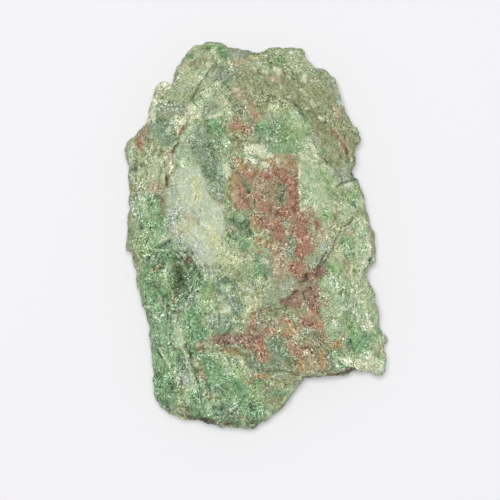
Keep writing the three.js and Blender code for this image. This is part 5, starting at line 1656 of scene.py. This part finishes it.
def stoneMaterial():
    made = bpy.data.materials.new("greenStone")
    made.use_nodes = True
    made.node_tree.nodes.clear()
    start = Wire(made.node_tree)
    place = start.node("ShaderNodeTexCoord", out="Object")

    def vector(operation, *parts):
        return start.node("ShaderNodeVectorMath", {"operation": operation}, dict(enumerate(parts)))

    def noise(name, at=place, turn=1, out="Fac"):
        size, offset, octaves, roughness = stoneFinish[name]
        shifted = vector("ADD", at, (offset * turn, -offset * turn, offset * turn))
        return start.node("ShaderNodeTexNoise", {}, {
            "Vector": shifted, "Scale": 1 / (size * mm),
            "Detail": octaves, "Roughness": roughness}, out=out)

    def drift(name, at=place):  # noise as a direction
        return vector("SUBTRACT", noise(name, at=at, out="Color"), (0.5, 0.5, 0.5))

    def step(value, first, last):
        return start.node("ShaderNodeMapRange", {"interpolation_type": "SMOOTHSTEP"}, {
            "Value": value, "From Min": first, "From Max": last})

    def mix(first, second, share, blend="MIX"):
        return start.node("ShaderNodeMix", {"data_type": "RGBA", "blend_type": blend}, {
            0: share, 6: first, 7: second}, out=2)

    def layer(name):
        return start.node("ShaderNodeAttribute", {"attribute_name": name}, out="Fac")

    # coordinates that swirl, for the edges of the stains and, less, for the fibres
    swirl = drift("swirl")
    bent = vector("MULTIPLY_ADD", swirl, (stoneFinish["swirlReach"] * mm,) * 3, place)
    wavy = vector("MULTIPLY_ADD", swirl, (stoneFinish["fibreReach"] * mm,) * 3, place)
    patches = [noise("patch", turn=turn) - 0.5 for turn in (1, 2, 3)]
    crumbs = [noise("crumb", at=bent, turn=turn) - 0.5 for turn in (1, 2, 3)]

    # fibres and streaks that lie one way here and another way there
    rightward = step(layer("rightward"), *stoneFinish["leanEdge"])
    upright = (1 - rightward) * step(layer("upright"), *stoneFinish["leanEdge"])
    leftward = 1 - rightward - upright

    def laid(name):
        ways = []
        for turn in stoneFinish["fibreTurns"]:
            along = start.node("ShaderNodeMapping", {"vector_type": "TEXTURE"}, {
                "Vector": wavy, "Rotation": (stoneFinish["fibreLean"], stoneFinish["fibreLean"], turn),
                "Scale": (1, stoneFinish["fibreStretch"], 1)})
            ways.append(noise(name, at=along) - 0.5)
        return rightward * ways[0] + upright * ways[1] + leftward * ways[2]

    fibres = laid("fibre")
    shade = step(laid("streak"), *stoneFinish["streakRange"])

    def strand(name):  # a thin line wherever a noise passes its middle
        away = start.node("ShaderNodeMath", {"operation": "ABSOLUTE"}, {0: noise(name, at=bent) - 0.5})
        return 1 - step(away, 0, stoneFinish["strandWidth"])

    # grit: small cells, most of them faint and a few strong, with painted glints, bright specks, here and
    # there
    wispy = vector("MULTIPLY_ADD", drift("curl", at=bent), (stoneFinish["curlReach"] * mm,) * 3, bent)

    def cells(name, out="Color", **settings):
        return start.node("ShaderNodeTexVoronoi", settings, {
            "Vector": wispy, "Scale": 1 / (stoneFinish[name] * mm)}, out=out)

    def cellChance(name):
        return start.node("ShaderNodeSeparateColor", {}, {0: cells(name)})

    chance = cellChance("gritSize") - 0.5
    flat, bowed, peaked = stoneFinish["gritCurve"]
    grit = chance * (flat + bowed * chance + peaked * chance * chance) - stoneFinish["gritLevel"]
    speck = 1 - step(cells("glintSize", out="Distance"), *stoneFinish["glintRadius"])
    glint = step(cellChance("glintSize"), *stoneFinish["glintShare"]) * speck
    rim = 1 - step(cells("rimSize", out="Distance", feature="DISTANCE_TO_EDGE"), *stoneFinish["rimWidth"])

    # the ground, the clouds of the back and the stains of the face, one over the other
    light, dark, *_ = stoneTones["ground"]
    colour = mix(dark, light, 0.5 * step(noise("ground"), *stoneFinish["groundRange"]) + 0.5 * shade)
    height = start.node("ShaderNodeSeparateXYZ", {}, {0: place}, out="Z")
    back = 1 - step(height, *(level * mm for level in stoneFinish["backHeight"]))
    for name, (cloud, least) in stoneFinish["clouds"].items():
        light, dark, *_ = stoneTones[name]
        cover = step(noise(cloud), least, least + stoneFinish["cloudEdge"])
        colour = mix(colour, mix(dark, light, shade), stoneFinish["cloudCover"] * back * cover)
    soft = stoneFinish["edgeSoftness"]
    for order, name in enumerate(list(stoneTones)[1:]):
        light, dark, broken, opaque = stoneTones[name]
        stray = (stoneFinish["patchWander"] * patches[order % 3]
                 + stoneFinish["crumbWander"] * crumbs[order % 3])
        cover = step(layer(name) + broken * stray, 0.5 - soft, 0.5 + soft)
        colour = mix(colour, mix(dark, light, shade), opaque * cover)

    # the grain is faint where the stone is glassy
    least, more = stoneFinish["glassGrain"]
    glassy = least + more * step(noise("glass"), *stoneFinish["glassRange"])
    calm = (glassy * (1 - stoneFinish["lensCalm"] * step(layer("lens"), *stoneFinish["lensEdge"]))
            * (1 - stoneFinish["quiet"] * layer("quiet"))
            * (1 + stoneFinish["coarse"] * layer("coarse")))
    tinted = vector("MULTIPLY_ADD", drift("tint"), stoneFinish["tintContrast"], (1, 1, 1))
    colour = mix(colour, tinted, calm, "MULTIPLY")
    fine = noise("fine") - 0.5
    # painted shade in pits and painted light on ridges, from the mesh's pointiness
    ridge = start.node("ShaderNodeNewGeometry", out="Pointiness") - 0.5
    light = stoneFinish["cavityShade"] * ridge + calm * (
        stoneFinish["gritContrast"] * grit
        + stoneFinish["fibreContrast"] * fibres
        + stoneFinish["fineContrast"] * fine
        + stoneFinish["glints"] * glint
        + stoneFinish["rims"] * rim * step(fibres, *stoneFinish["rimFibres"])
        + stoneFinish["strands"] * strand("paleStrand")
        - stoneFinish["gaps"] * strand("darkStrand"))
    # added where colours are spaced as the eye sees them, so that it is as strong on dark as on light
    seen = start.node("ShaderNodeGamma", {}, {0: colour, 1: 1 / stoneFinish["screenGamma"]})
    light = start.node("ShaderNodeCombineXYZ", {}, {0: light, 1: light, 2: light})
    seen = vector("MULTIPLY_ADD", light, stoneFinish["grain"], seen)
    colour = start.node("ShaderNodeGamma", {}, {0: seen, 1: stoneFinish["screenGamma"]})
    # cracks darkened, partly painted shadow of their steps
    crack = stoneFinish["crackAndShadowCover"] * step(layer("crack"), *stoneFinish["crackEdge"])
    colour = mix(colour, stoneFinish["crackAndShadowTone"], crack)

    relief = stoneFinish["fibreHeight"] * fibres + fine + stoneFinish["gritHeight"] * grit
    bump = start.node("ShaderNodeBump", {}, {
        "Strength": 1.0, "Distance": stoneFinish["bumpHeight"] * mm, "Height": relief})
    surface = start.node("ShaderNodeBsdfPrincipled", {}, {
        "Base Color": colour, "Roughness": stoneFinish["roughness"] - stoneFinish["glintGloss"] * glint,
        "Normal": bump, "Specular IOR Level": stoneFinish["shine"]})
    start.node("ShaderNodeOutputMaterial", {}, {"Surface": surface})
    print("stone's finish wired,", len(made.node_tree.nodes), "nodes")
    return made


stone = makeStone()
layStains(stone)
stone.data.materials.append(stoneMaterial())
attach(stone, "root")
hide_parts("opal")


studio = {
    "tableSize": 3.0,  # m
    "tableDrop": 0.05,  # mm under the stone
    "tableTone": tone(231, 230, 233),
    "tableRoughness": 0.9,
    "tableShine": 0.1,
    "skyStrength": 0.3,
    "keyPower": 6.9,  # W
    "keySize": 0.2,  # m
    "keyPlace": (-0.025, 0.052, 0.9),  # m
    "lensLength": 169,  # mm
    "cameraPlace": (-0.0011, -0.00282, 0.46),  # m
}


def makeStudio():
    bpy.ops.object.select_all(action="DESELECT")
    bpy.ops.mesh.primitive_plane_add(size=studio["tableSize"], location=(0, 0, -studio["tableDrop"] * mm))
    table = bpy.context.object
    table.name = "table"
    made = bpy.data.materials.new("paleTable")
    made.use_nodes = True
    paint = made.node_tree.nodes["Principled BSDF"]
    paint.inputs["Base Color"].default_value = studio["tableTone"]
    paint.inputs["Roughness"].default_value = studio["tableRoughness"]
    paint.inputs["Specular IOR Level"].default_value = studio["tableShine"]
    table.data.materials.append(made)

    world = bpy.data.worlds.new("studioSky")
    bpy.context.scene.world = world
    world.use_nodes = True
    sky = world.node_tree.nodes["Background"]
    sky.inputs["Color"].default_value = (1, 1, 1, 1)
    sky.inputs["Strength"].default_value = studio["skyStrength"]

    bpy.ops.object.light_add(type="AREA", location=studio["keyPlace"])
    key = bpy.context.object
    key.name = "keyLight"
    key.data.size = studio["keySize"]
    key.data.energy = studio["keyPower"]
    key.rotation_euler = (-Vector(studio["keyPlace"])).to_track_quat("-Z", "Y").to_euler()

    bpy.ops.object.camera_add(location=studio["cameraPlace"], rotation=(0, 0, 0))
    camera = bpy.context.object
    camera.name = "camera"
    camera.data.lens = studio["lensLength"]
    camera.data.clip_start = 0.01
    bpy.context.scene.camera = camera
    bpy.context.scene.view_settings.view_transform = "Standard"
    print("studio set")


makeStudio()
